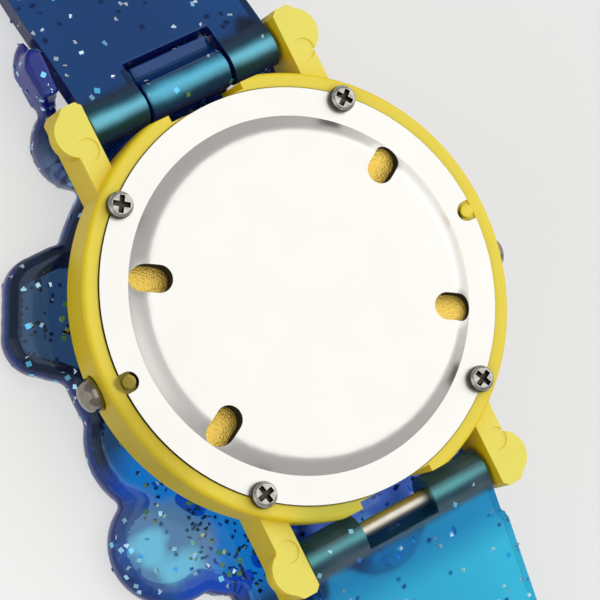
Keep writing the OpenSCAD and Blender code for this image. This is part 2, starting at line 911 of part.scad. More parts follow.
module buckle_frame() {
    color("gold") at_buckle() difference() {
        union() {
            for (side = [-1, 1]) {
                translate([side * (buckle_in_x + buckle_out_x) / 2, 0, 0])
                    rod_x(buckle_ear_r, buckle_bar_w);
                corner(side, 1) block([buckle_in_x, 0, -buckle_t / 2],
                    [buckle_out_x, buckle_l - buckle_bar_w, buckle_t / 2]);
            }
            intersection() {
                block([-buckle_out_x, buckle_l - buckle_bar_w - eps, -buckle_t / 2],
                    [buckle_out_x, buckle_l, buckle_t / 2]);
                for (side = [-1, 1])
                    translate([side * (buckle_out_x - buckle_bar_w), buckle_l - buckle_bar_w, -far])
                        cylinder(r = buckle_bar_w, h = 2 * far);
            }
            block([-buckle_in_x, buckle_l - buckle_bar_w, -buckle_t / 2],
                [buckle_in_x, buckle_l, buckle_t / 2]);
        }
        rod_x(buckle_pin_r + eps, far);
    }
}

module buckle_bar() {
    color("silver") at_buckle() rod_x(buckle_pin_r, 2 * buckle_out_x);
}

module buckle_tongue() {
    rest_z = buckle_t / 2 + tongue_rest;
    knee_y = buckle_l - buckle_bar_w - tongue_knee;
    tip_y = buckle_l + tongue_over;
    color("silver") at_buckle() difference() {
        across(tongue_w) {
            circle(r = tongue_eye_r);
            polygon([
                [buckle_pin_r, 0],
                [knee_y, rest_z],
                [tip_y, rest_z],
                [tip_y, rest_z + tongue_t / 2],
                [knee_y, rest_z + tongue_t],
                [0, tongue_eye_r],
            ]);
        }
        rod_x(buckle_pin_r + run_fit, far);
    }
}

// Flat round pebble with round edges, its rear face on z = 0
module pebble(r, t) {
    rotate_extrude() {
        translate([0, -t]) square([r - cover_round, t]);
        translate([0, cover_round - t]) square([r, t - 2 * cover_round]);
        translate([r - cover_round, -cover_round]) circle(r = cover_round);
        translate([r - cover_round, cover_round - t]) intersection() {
            circle(r = cover_round);
            translate([0, -cover_round]) square(2 * cover_round);
        }
    }
}

// Lobe with straight sides and round corners, laid out in pebbles round a flat core
module square_lobe() {
    translate([0, 0, -cover_t]) linear_extrude(cover_t) polygon(concat(corner_points, root_points));
    for (p = concat(side_points, [corner_points[len(corners) - 1]]))
        translate([p[0], p[1], 0]) pebble(corner_r, cover_t);
}

// Moves a piece to the middle of a lobe
module at_lobe(lobe) {
    rotate(lobe[0]) translate([case_r + lobe[1], 0, 0]) children();
}

// Shoulders beside the 12 o'clock strap on rails from the cover, with a raised horn on the left one
module shoulders() {
    for (side = [-1, 1]) corner(side, 1) {
        rail_y = side < 0 ? horn_y : shoulder_y;
        block([bay_x, shoulder_y - rail_root, horn_rise - horn_t], [bay_x + rail_w, rail_y, 0]);
        intersection() {
            union() {
                translate([bay_x - shoulder_in, shoulder_y, 0]) pebble(shoulder_r, cover_t);
                if (side < 0) translate([bay_x - horn_in, horn_y, horn_rise]) pebble(horn_r, horn_t);
            }
            block([bay_x, 0, -far], [far, far, far]);
        }
    }
}

// Knuckle round the 12 o'clock spring bar and the web that joins it to the cover
module hinge_tab() {
    translate([tab_x, bar_y, bar_z]) across(tab_w) {
        circle(r = knuckle_r);
        polygon([
            [-knuckle_r, 0],
            [-knuckle_r, band_bottom_z - bar_z - knuckle_gap],
            [-web_back, band_bottom_z - bar_z - web_drop],
            [-web_back, cover_rear_z - bar_z - cover_round],
            [-web_front, cover_rear_z - bar_z - knuckle_gap],
            [knuckle_r / 2, -knuckle_r * sqrt(3) / 2],
            [0, 0],
        ]);
    }
}

module flip_cover() {
    color("mediumblue") difference() {
        union() {
            translate([0, 0, cover_rear_z]) {
                difference() {
                    union() {
                        pebble(cover_base_r, cover_t);
                        for (lobe = lobes) at_lobe(lobe) pebble(lobe[2], cover_t);
                        square_lobe();
                    }
                    block([-bay_x, bay_y, -far], [bay_x, far, far]);
                }
                shoulders();
            }
            hinge_tab();
        }
        translate([0, 0, cover_rear_z - dish_depth]) cylinder(r = dish_r, h = dish_depth + eps);
        translate([0, bar_y, bar_z]) rod_x(strap_bore_r, far);
    }
}

case_body();
back_plate();
back_screws();
back_seal();
sounder_disc();
sounder_ceramic();
sounder_contact();
movement_frame();
circuit_board();
chip_cap();
quartz_can();
button_cell();
cell_clamp();
switch_leaves();
display_glass();
display_reflector();
display_contacts();
dial_mask();
lens();
left_pusher();
left_pusher_spring();
left_pusher_seal();
left_pusher_clip();
right_pusher();
right_pusher_spring();
right_pusher_seal();
right_pusher_clip();
upper_bar();
upper_left_pin();
upper_right_pin();
upper_left_pin_spring();
upper_right_pin_spring();
lower_bar();
lower_left_pin();
lower_right_pin();
lower_left_pin_spring();
lower_right_pin_spring();
upper_strap();
lower_strap();
keeper_loop();
buckle_frame();
buckle_bar();
buckle_tongue();
flip_cover();
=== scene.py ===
"""Looks of a child's digital watch with a lobed flip cover, lying face down.

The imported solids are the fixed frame, in metres. Moulded and pressed pieces are replaced by copies with
rounded edges, glitter and the marks of the display are added, and every node gets a finish of its own.
Named sizes and places are in millimetres and angles in degrees, where nothing else is said.
"""

import logging
import math
from contextlib import contextmanager
from dataclasses import dataclass
from enum import Enum
from typing import Iterator, Sequence, Union

import bmesh
import bpy
from mathutils import Matrix, Vector


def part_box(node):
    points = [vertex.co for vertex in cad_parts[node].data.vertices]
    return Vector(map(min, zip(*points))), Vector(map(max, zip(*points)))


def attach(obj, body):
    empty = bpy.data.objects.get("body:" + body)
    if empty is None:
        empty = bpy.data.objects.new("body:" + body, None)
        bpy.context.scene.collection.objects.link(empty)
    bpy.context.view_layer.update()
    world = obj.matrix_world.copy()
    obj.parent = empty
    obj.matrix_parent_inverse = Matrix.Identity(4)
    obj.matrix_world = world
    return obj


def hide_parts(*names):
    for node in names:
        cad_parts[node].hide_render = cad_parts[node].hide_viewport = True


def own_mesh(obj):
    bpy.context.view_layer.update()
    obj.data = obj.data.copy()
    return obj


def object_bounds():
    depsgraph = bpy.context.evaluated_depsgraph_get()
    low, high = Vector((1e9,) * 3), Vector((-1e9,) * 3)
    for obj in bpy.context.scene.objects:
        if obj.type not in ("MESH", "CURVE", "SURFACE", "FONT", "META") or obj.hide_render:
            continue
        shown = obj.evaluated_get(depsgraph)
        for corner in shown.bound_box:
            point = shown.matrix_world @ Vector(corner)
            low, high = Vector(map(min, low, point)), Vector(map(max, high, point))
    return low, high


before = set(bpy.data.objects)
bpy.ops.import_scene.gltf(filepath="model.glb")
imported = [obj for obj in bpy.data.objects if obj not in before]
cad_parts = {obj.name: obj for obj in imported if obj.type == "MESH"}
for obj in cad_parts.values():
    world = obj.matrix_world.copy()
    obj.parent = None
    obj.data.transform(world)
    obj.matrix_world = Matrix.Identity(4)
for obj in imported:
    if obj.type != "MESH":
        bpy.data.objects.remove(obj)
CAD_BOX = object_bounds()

BMesh = bmesh.types.BMesh
Mesh = bpy.types.Mesh
Node = bpy.types.Node
Piece = bpy.types.Object
Socket = bpy.types.NodeSocket
Tree = bpy.types.NodeTree
Colour = tuple[float, float, float, float]
Point = tuple[float, float, float]
Flat = tuple[float, float]
Setting = Union[float, int, str, bool, Sequence[float], Socket, Node, bpy.types.ID]
Inputs = dict[Union[str, int], Setting]

LOG = logging.getLogger("watch")
# A millimetre in metres, and the distance in metres within which points become one
MM, MERGE = 0.001, 1e-6
# Angles in radians, up to which faces become one flat face and from which an edge is rounded
FLAT_ANGLE, EDGE_ANGLE = math.radians(0.8), math.radians(38)
# How the axes count for a spot that runs on along X
ALONG_X: Point = (0.0, 1.0, 1.0)
# The record's material slot of all vinyl pieces
VINYL_SLOT = "blue_glitter_pvc"

# Names of the attributes that carry a flake's tint and mark the faces of a screw that carry painted shade
TINT, DARK = "tint", "dark"

# Numbers of the sockets that share a name with others on their node
MIX_FACTOR, MIX_A, MIX_B = 0, 6, 7
RANDOM_MIN, RANDOM_MAX, RANDOM_SEED = 2, 3, 8


def linear(code: str) -> Colour:
    """Turn an sRGB hex colour into linear light.

    Args:
        code: Six hex digits after a hash.

    Returns:
        Linear red, green and blue, and an alpha of 1.
    """
    parts = [int(code[i:i + 2], 16) / 255 for i in (1, 3, 5)]
    red, green, blue = (p / 12.92 if p <= 0.04045 else ((p + 0.055) / 1.055) ** 2.4 for p in parts)
    return red, green, blue, 1.0


def per_mm(size: float) -> float:
    """Return the scale of a pattern on Object coordinates whose features are `size` millimetres wide."""
    return 1.0 / (size * MM)


def polar(away: float, turn: float) -> Vector:
    """Return, in metres, the point at a distance in millimetres and an angle in degrees from the middle."""
    angle = math.radians(turn)
    return Vector((math.cos(angle), math.sin(angle), 0.0)) * away * MM


def feed(tree: Tree, node: Node, inputs: Inputs) -> None:
    """Set or link inputs of a node.

    Args:
        tree: The node's tree.
        node: The node.
        inputs: A constant, a socket, or a node whose first output in use is meant, for each named or
            numbered input.
    """
    for key, value in inputs.items():
        if isinstance(value, Node):
            value = next(output for output in value.outputs if output.enabled)
        if isinstance(value, Socket):
            tree.links.new(value, node.inputs[key])
        else:
            node.inputs[key].default_value = value


def add_node(tree: Tree, kind: str, inputs: Inputs | None = None, **settings: Setting) -> Node:
    """Add a node with its settings, and set or link its inputs.

    Args:
        tree: Tree that takes the node.
        kind: Blender's name for the kind of node.
        inputs: What feeds its inputs.
        **settings: Attributes of the node.

    Returns:
        The new node.
    """
    node = tree.nodes.new(kind)
    for name, value in settings.items():
        setattr(node, name, value)
    feed(tree, node, inputs or {})
    return node


def so_far(node: Node, name: str) -> Setting:
    """Return the socket or the constant that feeds a node's input so far."""
    taken = node.inputs[name]
    return taken.links[0].from_socket if taken.links else taken.default_value


class Grain(Enum):
    """How a metal surface was worked: the length and the width of its marks in millimetres."""

    ROLLED = (5.0, 0.09)
    TURNED = (0.12, 0.12)
    ETCHED = (0.16, 0.16)


class Side(Enum):
    """Which side of the case a piece is on, seen from the back."""

    LEFT = "left"
    RIGHT = "right"


class End(Enum):
    """Which strap a piece belongs to."""

    UPPER = "upper"
    LOWER = "lower"


@dataclass(frozen=True)
class Finish:
    """A surface with soft patches of colour and gloss.

    Attributes:
        name: The material's common name and how its surface was made.
        colour: sRGB hex colour.
        second: sRGB hex colour that its patches shift towards.
        roughness: Roughness of its smoothest patches.
        spread: How much rougher its roughest patches are.
        patch: Width of its patches.
        bump: Height of its fine relief.
        relief: Width of the relief's marks.
    """

    name: str
    colour: str
    second: str
    roughness: float
    spread: float = 0.08
    patch: float = 3.0
    bump: float = 0.0
    relief: float = 0.3

    def material(self) -> bpy.types.Material:
        """Return this finish's material, which is made once."""
        found = bpy.data.materials.get(self.name)
        if found:
            return found
        made = bpy.data.materials.new(self.name)
        made.use_nodes = True
        tree = made.node_tree
        tree.nodes.clear()
        shader = add_node(tree, "ShaderNodeBsdfPrincipled")
        add_node(tree, "ShaderNodeOutputMaterial", {"Surface": shader})
        self.build(tree, shader, add_node(tree, "ShaderNodeTexCoord").outputs["Object"])
        return made

    def build(self, tree: Tree, shader: Node, place: Socket) -> None:
        """Link the patches and the relief to the shader.

        Args:
            tree: The material's tree.
            shader: Its shader.
            place: Where on the piece a point lies.
        """
        patches = add_node(tree, "ShaderNodeTexNoise", {
            "Vector": place, "Scale": per_mm(self.patch), "Detail": 3.0,
        })
        tint = add_node(tree, "ShaderNodeMix", data_type="RGBA", inputs={
            MIX_FACTOR: patches, MIX_A: linear(self.colour), MIX_B: linear(self.second),
        })
        rough = add_node(tree, "ShaderNodeMapRange", {
            "Value": patches, "To Min": self.roughness, "To Max": self.roughness + self.spread,
        })
        feed(tree, shader, {"Base Color": tint, "Roughness": rough})
        if self.bump:
            marks = self.marks(tree, place)
            height = add_node(tree, "ShaderNodeBump", {"Height": marks, "Distance": self.bump * MM})
            feed(tree, shader, {"Normal": height})

    def marks(self, tree: Tree, place: Socket) -> Node:
        """Return the node that gives the height of the fine relief."""
        return add_node(tree, "ShaderNodeTexNoise", {
            "Vector": place, "Scale": per_mm(self.relief), "Detail": 2.0,
        })


@dataclass(frozen=True)
class Spot:
    """A soft spot of another colour in a moulding, used here for other pigment and for painted light, shade
    and highlights.

    Attributes:
        colour: sRGB hex colour.
        centre: Its middle.
        radius: Its radius.
        soft: Width of its soft edge.
        stretch: How much each axis counts for its outline, 0 for a spot that runs on along that axis.
        milk: Share of the light that it scatters and doesn't let through.
        ragged: How far its edge wanders.
    """

    colour: str
    centre: Point
    radius: float
    soft: float = 1.0
    stretch: Point = (1.0, 1.0, 1.0)
    milk: float = 0.0
    ragged: float = 1.2

    def lay(self, tree: Tree, shader: Node, place: Socket, wander: Node) -> Node:
        """Lay the spot over the colour that a shader has so far.

        Args:
            tree: The material's tree.
            shader: Its shader.
            place: Where on the piece a point lies.
            wander: Noise that makes the spot's edge ragged.

        Returns:
            The node that says how far a point is inside the spot.
        """
        laid = add_node(tree, "ShaderNodeVectorMath", {0: place, 1: self.stretch}, operation="MULTIPLY")
        away = add_node(tree, "ShaderNodeVectorMath", operation="DISTANCE", inputs={
            0: laid, 1: Vector(self.centre) * Vector(self.stretch) * MM,
        })
        shift = add_node(tree, "ShaderNodeMapRange", {
            "Value": wander, "To Min": -self.ragged * MM, "To Max": self.ragged * MM,
        })
        edge = add_node(tree, "ShaderNodeMath", {0: away, 1: shift})
        inside = add_node(tree, "ShaderNodeMapRange", interpolation_type="SMOOTHSTEP", inputs={
            "Value": edge,
            "From Min": (self.radius + self.soft) * MM,
            "From Max": (self.radius - self.soft) * MM,
        })
        mixed = add_node(tree, "ShaderNodeMix", data_type="RGBA", inputs={
            MIX_FACTOR: inside, MIX_A: so_far(shader, "Base Color"), MIX_B: linear(self.colour),
        })
        feed(tree, shader, {"Base Color": mixed})
        return inside


@dataclass(frozen=True)
class MouldedPlastic(Finish):
    """Moulded plastic, which lets a little light in below its skin.

    Attributes:
        glow: Share of light that scatters below the skin.
        depth: How far that light goes.
        gloss: Strength of its gloss, 0.5 for a plain plastic.
        painted_highlight: sRGB hex colour of the painted highlight on the faces that look up, if any.
        upward: Share of a face's normal that points up where it begins to look up.
        inner: Distance from the middle within which the painted highlight is weaker.
        outer: Distance from the middle beyond which the painted highlight is full.
        kept: Share of the painted highlight within the inner distance.
        spots: Spots of painted shade, each over those before it.
        ior: Index of refraction.
        reach: How far red, green and blue light go, as shares of the depth.
    """

    glow: float = 0.0
    depth: float = 0.6
    gloss: float = 0.5
    painted_highlight: str = ""
    upward: float = 0.7
    inner: float = 18.4
    outer: float = 20.4
    kept: float = 0.45
    spots: tuple[Spot, ...] = ()
    ior: float = 1.53
    reach: Point = (1.0, 0.7, 0.2)

    def build(self, tree: Tree, shader: Node, place: Socket) -> None:
        """Add the light below the skin, the painted highlight on the upper faces and the spots to the plain
        finish.

        Args:
            tree: The material's tree.
            shader: Its shader.
            place: Where on the piece a point lies.
        """
        super().build(tree, shader, place)
        feed(tree, shader, {
            "IOR": self.ior,
            "Specular IOR Level": self.gloss,
            "Subsurface Weight": self.glow,
            "Subsurface Radius": self.reach,
            "Subsurface Scale": self.depth * MM,
        })
        # Painted highlight on the faces that look up, weaker on the rim
        if self.painted_highlight:
            self.pale(tree, shader, place)
        if self.spots:
            wander = add_node(tree, "ShaderNodeTexNoise", {"Vector": place, "Scale": per_mm(self.patch / 2)})
            for spot in self.spots:
                spot.lay(tree, shader, place, wander)

    def pale(self, tree: Tree, shader: Node, place: Socket) -> None:
        """Lay the painted highlight, a paler colour, over the faces that look up.

        Args:
            tree: The material's tree.
            shader: Its shader.
            place: Where on the piece a point lies.
        """
        facing = add_node(tree, "ShaderNodeSeparateXYZ", {"Vector": place.node.outputs["Normal"]})
        flat = add_node(tree, "ShaderNodeVectorMath", {0: place, 1: (1.0, 1.0, 0.0)}, operation="MULTIPLY")
        away = add_node(tree, "ShaderNodeVectorMath", {0: flat}, operation="LENGTH")
        outward = add_node(tree, "ShaderNodeMapRange", {
            "Value": away, "From Min": self.inner * MM, "From Max": self.outer * MM, "To Min": self.kept,
        })
        upward = add_node(tree, "ShaderNodeMapRange", {
            "Value": facing.outputs["Z"], "From Min": self.upward, "To Max": outward,
        })
        paled = add_node(tree, "ShaderNodeMix", data_type="RGBA", inputs={
            MIX_FACTOR: upward, MIX_A: so_far(shader, "Base Color"), MIX_B: linear(self.painted_highlight),
        })
        feed(tree, shader, {"Base Color": paled})


@dataclass(frozen=True)
class WorkedMetal(Finish):
    """Bare metal with the marks that rolling, turning or etching left.

    Attributes:
        grain: How it was worked, which gives its marks their size.
        turn: Direction of its lines from the X axis.
    """

    grain: Grain = Grain.TURNED
    turn: float = 0.0

    def build(self, tree: Tree, shader: Node, place: Socket) -> None:
        """Add metal to the plain finish."""
        super().build(tree, shader, place)
        feed(tree, shader, {"Metallic": 1.0})

    def marks(self, tree: Tree, place: Socket) -> Node:
        """Add the lines or pits.

        Args:
            tree: The material's tree.
            place: Where on the piece a point lies.

        Returns:
            The node that gives their height.
        """
        length, width = self.grain.value
        laid = add_node(tree, "ShaderNodeMapping", {
            "Vector": place,
            "Rotation": (0.0, 0.0, math.radians(self.turn)),
            "Scale": (per_mm(length), per_mm(width), per_mm(width)),
        })
        return add_node(tree, "ShaderNodeTexNoise", {"Vector": laid, "Scale": 1.0, "Detail": 2.0})


@dataclass(frozen=True)
class ClearPiece(Finish):
    """Clear glass or acrylic.

    Attributes:
        ior: Index of refraction.
        through: Share of light that goes through.
    """

    ior: float = 1.49
    through: float = 1.0

    def build(self, tree: Tree, shader: Node, place: Socket) -> None:
        """Add the clear body to the plain finish."""
        super().build(tree, shader, place)
        feed(tree, shader, {"IOR": self.ior, "Transmission Weight": self.through})


@dataclass(frozen=True)
class PearlVinyl(ClearPiece):
    """See-through vinyl that takes up more light the deeper it is, with pools of other pigment and spots of
    painted light, shade and highlights.

    Attributes:
        ior: Index of refraction.
        take: Share of red, green and blue light that it takes up, per millimetre.
        pearl: sRGB hex colour of its gloss.
        spots: Spots of other pigment, painted light, painted shade and painted highlights, each over those
            before it.
        edge_shade: sRGB hex colour of the painted shade on its steep sides, if any.
        over: Spots that also cover the painted shade of the steep sides.
        steep: Share of a face's normal along Z where the painted shade begins, and where it is full.
        edge_shade_through: Share of light that goes through where the painted shade lies.
        edge_shade_gloss: Strength of the gloss beside the painted shade, and on it.
    """

    ior: float = 1.53
    take: Point = (0.5, 0.1, 0.05)
    pearl: str = "#D5EEF8"
    spots: tuple[Spot, ...] = ()
    edge_shade: str = ""
    over: tuple[Spot, ...] = ()
    steep: Flat = (0.8, 0.3)
    edge_shade_through: float = 0.3
    edge_shade_gloss: Flat = (0.5, 0.12)

    def build(self, tree: Tree, shader: Node, place: Socket) -> None:
        """Add the depth, the tinted gloss, the spots and the painted shade of the steep sides to the clear
        body.

        Args:
            tree: The material's tree.
            shader: Its shader.
            place: Where on the piece a point lies.
        """
        super().build(tree, shader, place)
        feed(tree, shader, {"Specular Tint": linear(self.pearl)})
        most = max(self.take)
        depth = add_node(tree, "ShaderNodeVolumeAbsorption", {
            "Color": (*(1.0 - share / most for share in self.take), 1.0), "Density": most / MM,
        })
        feed(tree, shader.outputs["BSDF"].links[0].to_node, {"Volume": depth})
        wander = add_node(tree, "ShaderNodeTexNoise", {"Vector": place, "Scale": per_mm(self.patch / 2)})
        for spot in self.spots:
            self.cloud(tree, shader, spot, spot.lay(tree, shader, place, wander))
        if self.edge_shade:
            self.paint_edge_shade(tree, shader, place)
        for spot in self.over:
            self.cloud(tree, shader, spot, spot.lay(tree, shader, place, wander))

    def cloud(self, tree: Tree, shader: Node, spot: Spot, inside: Node) -> None:
        """Let less light through within a spot.

        Args:
            tree: The material's tree.
            shader: Its shader.
            spot: The spot.
            inside: The node that says how far a point is inside the spot.
        """
        clear = add_node(tree, "ShaderNodeMapRange", {
            "Value": inside, "To Min": so_far(shader, "Transmission Weight"), "To Max": 1.0 - spot.milk,
        })
        feed(tree, shader, {"Transmission Weight": clear})

    def paint_edge_shade(self, tree: Tree, shader: Node, place: Socket) -> None:
        """Lay the painted shade over the steep sides.

        Args:
            tree: The material's tree.
            shader: Its shader.
            place: Where on the piece a point lies.
        """
        facing = add_node(tree, "ShaderNodeSeparateXYZ", {"Vector": place.node.outputs["Normal"]})
        level = add_node(tree, "ShaderNodeMath", {0: facing.outputs["Z"]}, operation="ABSOLUTE")
        steep = add_node(tree, "ShaderNodeMapRange", interpolation_type="SMOOTHSTEP", inputs={
            "Value": level, "From Min": self.steep[0], "From Max": self.steep[1],
        })
        darker = add_node(tree, "ShaderNodeMix", data_type="RGBA", inputs={
            MIX_FACTOR: steep, MIX_A: so_far(shader, "Base Color"), MIX_B: linear(self.edge_shade),
        })
        dense = add_node(tree, "ShaderNodeMapRange", {
            "Value": steep, "To Min": so_far(shader, "Transmission Weight"), "To Max": self.edge_shade_through,
        })
        dull = add_node(tree, "ShaderNodeMapRange", {
            "Value": steep, "To Min": self.edge_shade_gloss[0], "To Max": self.edge_shade_gloss[1],
        })
        feed(tree, shader, {"Base Color": darker, "Transmission Weight": dense, "Specular IOR Level": dull})


@dataclass(frozen=True)
class CutFoil(Finish):
    """Cut foil whose flakes differ in tint."""

    def build(self, tree: Tree, shader: Node, place: Socket) -> None:
        """Take each flake's tint from its own attribute.

        Args:
            tree: The material's tree.
            shader: Its shader.
            place: Where on the piece a point lies, which makes no difference here.
        """
        own = add_node(tree, "ShaderNodeAttribute", attribute_name=TINT)
        tint = add_node(tree, "ShaderNodeMix", data_type="RGBA", inputs={
            MIX_FACTOR: own.outputs["Fac"], MIX_A: linear(self.colour), MIX_B: linear(self.second),
        })
        feed(tree, shader, {"Base Color": tint, "Metallic": 1.0, "Roughness": self.roughness})


@dataclass(frozen=True)
class LitPaper(Finish):
    """Matt paper that looks evenly lit to the eye, also in metal and through vinyl, and keeps shadows.

    Attributes:
        lit: Brightness that the eye sees on it besides the light that falls on it.
        lift: How much brighter that is on the side away from the main lamp.
        reach: How far from the middle this side is.
    """

    lit: float = 0.48
    lift: float = 0.1
    reach: float = 30.0

    def build(self, tree: Tree, shader: Node, place: Socket) -> None:
        """Add the even brightness to the plain finish.

        Args:
            tree: The material's tree.
            shader: Its shader.
            place: Where on the paper a point lies.
        """
        super().build(tree, shader, place)
        path = add_node(tree, "ShaderNodeLightPath").outputs
        direct = add_node(tree, "ShaderNodeMath", {0: path["Is Camera Ray"], 1: path["Is Glossy Ray"]})
        seen = add_node(tree, "ShaderNodeMath", {0: direct, 1: path["Is Transmission Ray"]}, use_clamp=True)
        across = add_node(tree, "ShaderNodeSeparateXYZ", {"Vector": place})
        even = add_node(tree, "ShaderNodeMapRange", {
            "Value": across.outputs["X"],
            "From Min": -self.reach * MM,
            "From Max": self.reach * MM,
            "To Min": self.lit + self.lift,
            "To Max": self.lit,
        })
        bright = add_node(tree, "ShaderNodeMath", {0: seen, 1: even}, operation="MULTIPLY")
        feed(tree, shader, {"Emission Color": linear("#FFFFFF"), "Emission Strength": bright})


# ABS, moulded: satin and a little waxy, deep yellow at its sides, with a painted highlight where it looks
# up, and painted shade on two stretches of the rim and on the left peg
YELLOW_ABS = MouldedPlastic(
    "ABS_yellow_moulded", "#FFE00C", "#FBD708", 0.42, 0.08, 4.0, 0.006, 0.45, 0.15, 0.8, 0.4, "#FFF068",
    spots=(
        # Painted shade on two stretches of the rim
        Spot("#DAC11C", (-17.6, -4.6, -1.5), 5.0, 3.5),
        Spot("#D4CA3C", (-5.2, -17.6, -1.5), 4.2, 2.2),
        # Painted shade on the left peg
        Spot("#9C8A16", (-16.8, 0.0, -1.5), 1.0, 0.3),
    ))
# Stainless sheet, rolled and pressed: satin, with fine lines and a broad sheen
STEEL_SHEET = WorkedMetal("stainless_sheet_rolled", "#E6E4DF", "#E2E0DA", 0.32, 0.07, 5.0, 0.0012,
                          grain=Grain.ROLLED, turn=25.0)
# Steel, nickel plated: bright, with faint turning marks
NICKEL = WorkedMetal("steel_nickel_plated", "#D8D5CE", "#BDB8AE", 0.14, 0.12, 0.8, 0.001)
# Steel, headed and zinc plated: patchy grey with a hard shine, for screws
ZINC = WorkedMetal("steel_zinc_plated", "#E4E0D8", "#6B675F", 0.12, 0.16, 0.45, 0.004)
# Steel, turned and chromed: darker and smooth, for the buttons
CHROME = WorkedMetal("steel_chrome_plated", "#A39D92", "#5F594F", 0.1, 0.12, 0.9, 0.002)
# Steel, drawn and ground: a satin bar, which spreads what it mirrors
GROUND_STEEL = WorkedMetal("steel_bar_ground", "#E2DCD0", "#CFC8BA", 0.36, 0.1, 1.0, 0.001)
# Painted shade: black on the inner side and the cut edges of the back plate, standing in for the shade that
# keeps its slots dark
SLOT_SHADE = Finish("black_painted_shade", "#0E0D0C", "#15130F", 0.6, 0.1, 1.0)
# Steel with painted shade: the recess and the side of a screw's head, dark with a dull shine
SCREW_SHADE = WorkedMetal("steel_painted_shade", "#5A5347", "#2B2721", 0.28, 0.2, 0.3, 0.003)
# Spring steel, drawn: grey, with a soft shine
SPRING_STEEL = WorkedMetal("spring_steel_drawn", "#9A9A9C", "#86868A", 0.3, 0.1, 1.0, 0.001)
# Brass sheet, etched: golden, with a sandy grain that is drawn coarse enough to show
BRASS = WorkedMetal("brass_sheet_etched", "#FFE680", "#E2AE2C", 0.34, 0.16, 0.16, 0.06, grain=Grain.ETCHED)
# Nitrile rubber, moulded: black and dull
RUBBER = Finish("nitrile_rubber_moulded", "#1B1B1C", "#262627", 0.7, 0.12, 1.0, 0.005)
# Ceramic, fired: off-white and dull
CERAMIC = Finish("ceramic_fired", "#E9E4D6", "#DDD6C4", 0.55, 0.1, 0.6)
# ABS, moulded: a dull white inner frame
WHITE_ABS = MouldedPlastic("ABS_white_moulded", "#E8E8E3", "#DEDED8", 0.5, 0.1, 3.0, 0.004, 0.4, 0.1)
# Glass fibre board under solder mask: green, with a faint unevenness
BOARD = Finish("glass_fibre_board_masked", "#1E5B33", "#174A2A", 0.35, 0.1, 0.8, 0.004, 0.4)
# Epoxy, cast: black and glossy
EPOXY = Finish("epoxy_cast", "#141416", "#1C1C20", 0.2, 0.1, 1.5)
# Steel, deep drawn and plated: the smooth can of a cell
CELL_STEEL = WorkedMetal("steel_can_drawn", "#CFCDC8", "#BDBAB3", 0.22, 0.1, 1.5, 0.001)
# Soda glass, polished: the grey-green of a liquid crystal behind it
LCD_GLASS = ClearPiece("glass_polished", "#C9D4C2", "#BFCBB8", 0.06, 0.03, 4.0, ior=1.52, through=0.6)
# Polyester film, metallised: a soft mirror
SILVER_FILM = WorkedMetal("polyester_film_metallised", "#DADBD6", "#CFD0CB", 0.2, 0.08, 2.0)
# Silicone, layered: pink and dull
PINK_ELASTOMER = Finish("silicone_layered", "#C98A92", "#B9757E", 0.6, 0.1, 0.4)
# Polyester film, screen printed: an even dark blue
PRINTED_FILM = Finish("polyester_film_printed", "#1B2F6B", "#20367A", 0.45, 0.08, 2.0)
# Liquid crystal, driven: the dark grey of a digit
DARK_SEGMENT = Finish("liquid_crystal_driven", "#23282A", "#2B3133", 0.4, 0.05, 1.0)
# Acrylic, moulded: clear, with a faint ripple in its gloss
CLEAR_ACRYLIC = ClearPiece("acrylic_moulded", "#F7FAFC", "#F2F6F9", 0.04, 0.03, 4.0)
# Vinyl, moulded: a deep violet blue copy of the strap vinyl, darkened as painted shade, with painted shade
# on its steep sides, pearly teal round the bar darkened partly as painted shade, and a painted highlight in
# a bright cyan band along it
SHADED_VINYL = PearlVinyl(
    "vinyl_blue_painted_shade", "#595F97", "#4E5590", 0.16, 0.08, 7.0, 0.003, 0.5, take=(1.0, 0.14, 0.02),
    spots=(
        # Pearly teal round the bar, darkened partly as painted shade on the knuckle
        Spot("#105062", (0.0, 19.9, -5.0), 2.1, 0.4, ALONG_X, 0.55, 0.2),
        # Painted highlight: a bright cyan band along the top of the knuckle
        Spot("#74D4F0", (0.0, 19.95, -3.2), 0.55, 0.55, ALONG_X, 0.9, 0.2),
    # Painted shade on the steep sides
    ), edge_shade="#0C1A66")
# Vinyl, moulded: a clearer cyan, through which the lit floor shows, with painted shade in a deeper blue band
# where it leaves the case, teal round the bar darkened partly as painted shade, and a painted highlight in a
# cyan band along it
CLEAR_VINYL = PearlVinyl(
    "vinyl_cyan_moulded", "#E4F4FB", "#D8EEF8", 0.16, 0.08, 7.0, 0.003, 0.5, take=(1.25, 0.14, 0.01),
    spots=(
        # Painted shade: a deeper blue band where the strap leaves the case
        Spot("#5AA8D4", (0.0, -22.4, -6.2), 2.6, 2.2, ALONG_X, 0.0, 0.3),
        # Teal round the bar, darkened partly as painted shade on the knuckle
        Spot("#124C58", (0.0, -19.9, -5.0), 2.1, 0.4, ALONG_X, 0.55, 0.2),
        # Painted highlight: a cyan band along the top of the knuckle
        Spot("#5FB8C0", (0.0, -19.9, -3.2), 0.4, 0.45, ALONG_X, 0.85, 0.2),
    ))
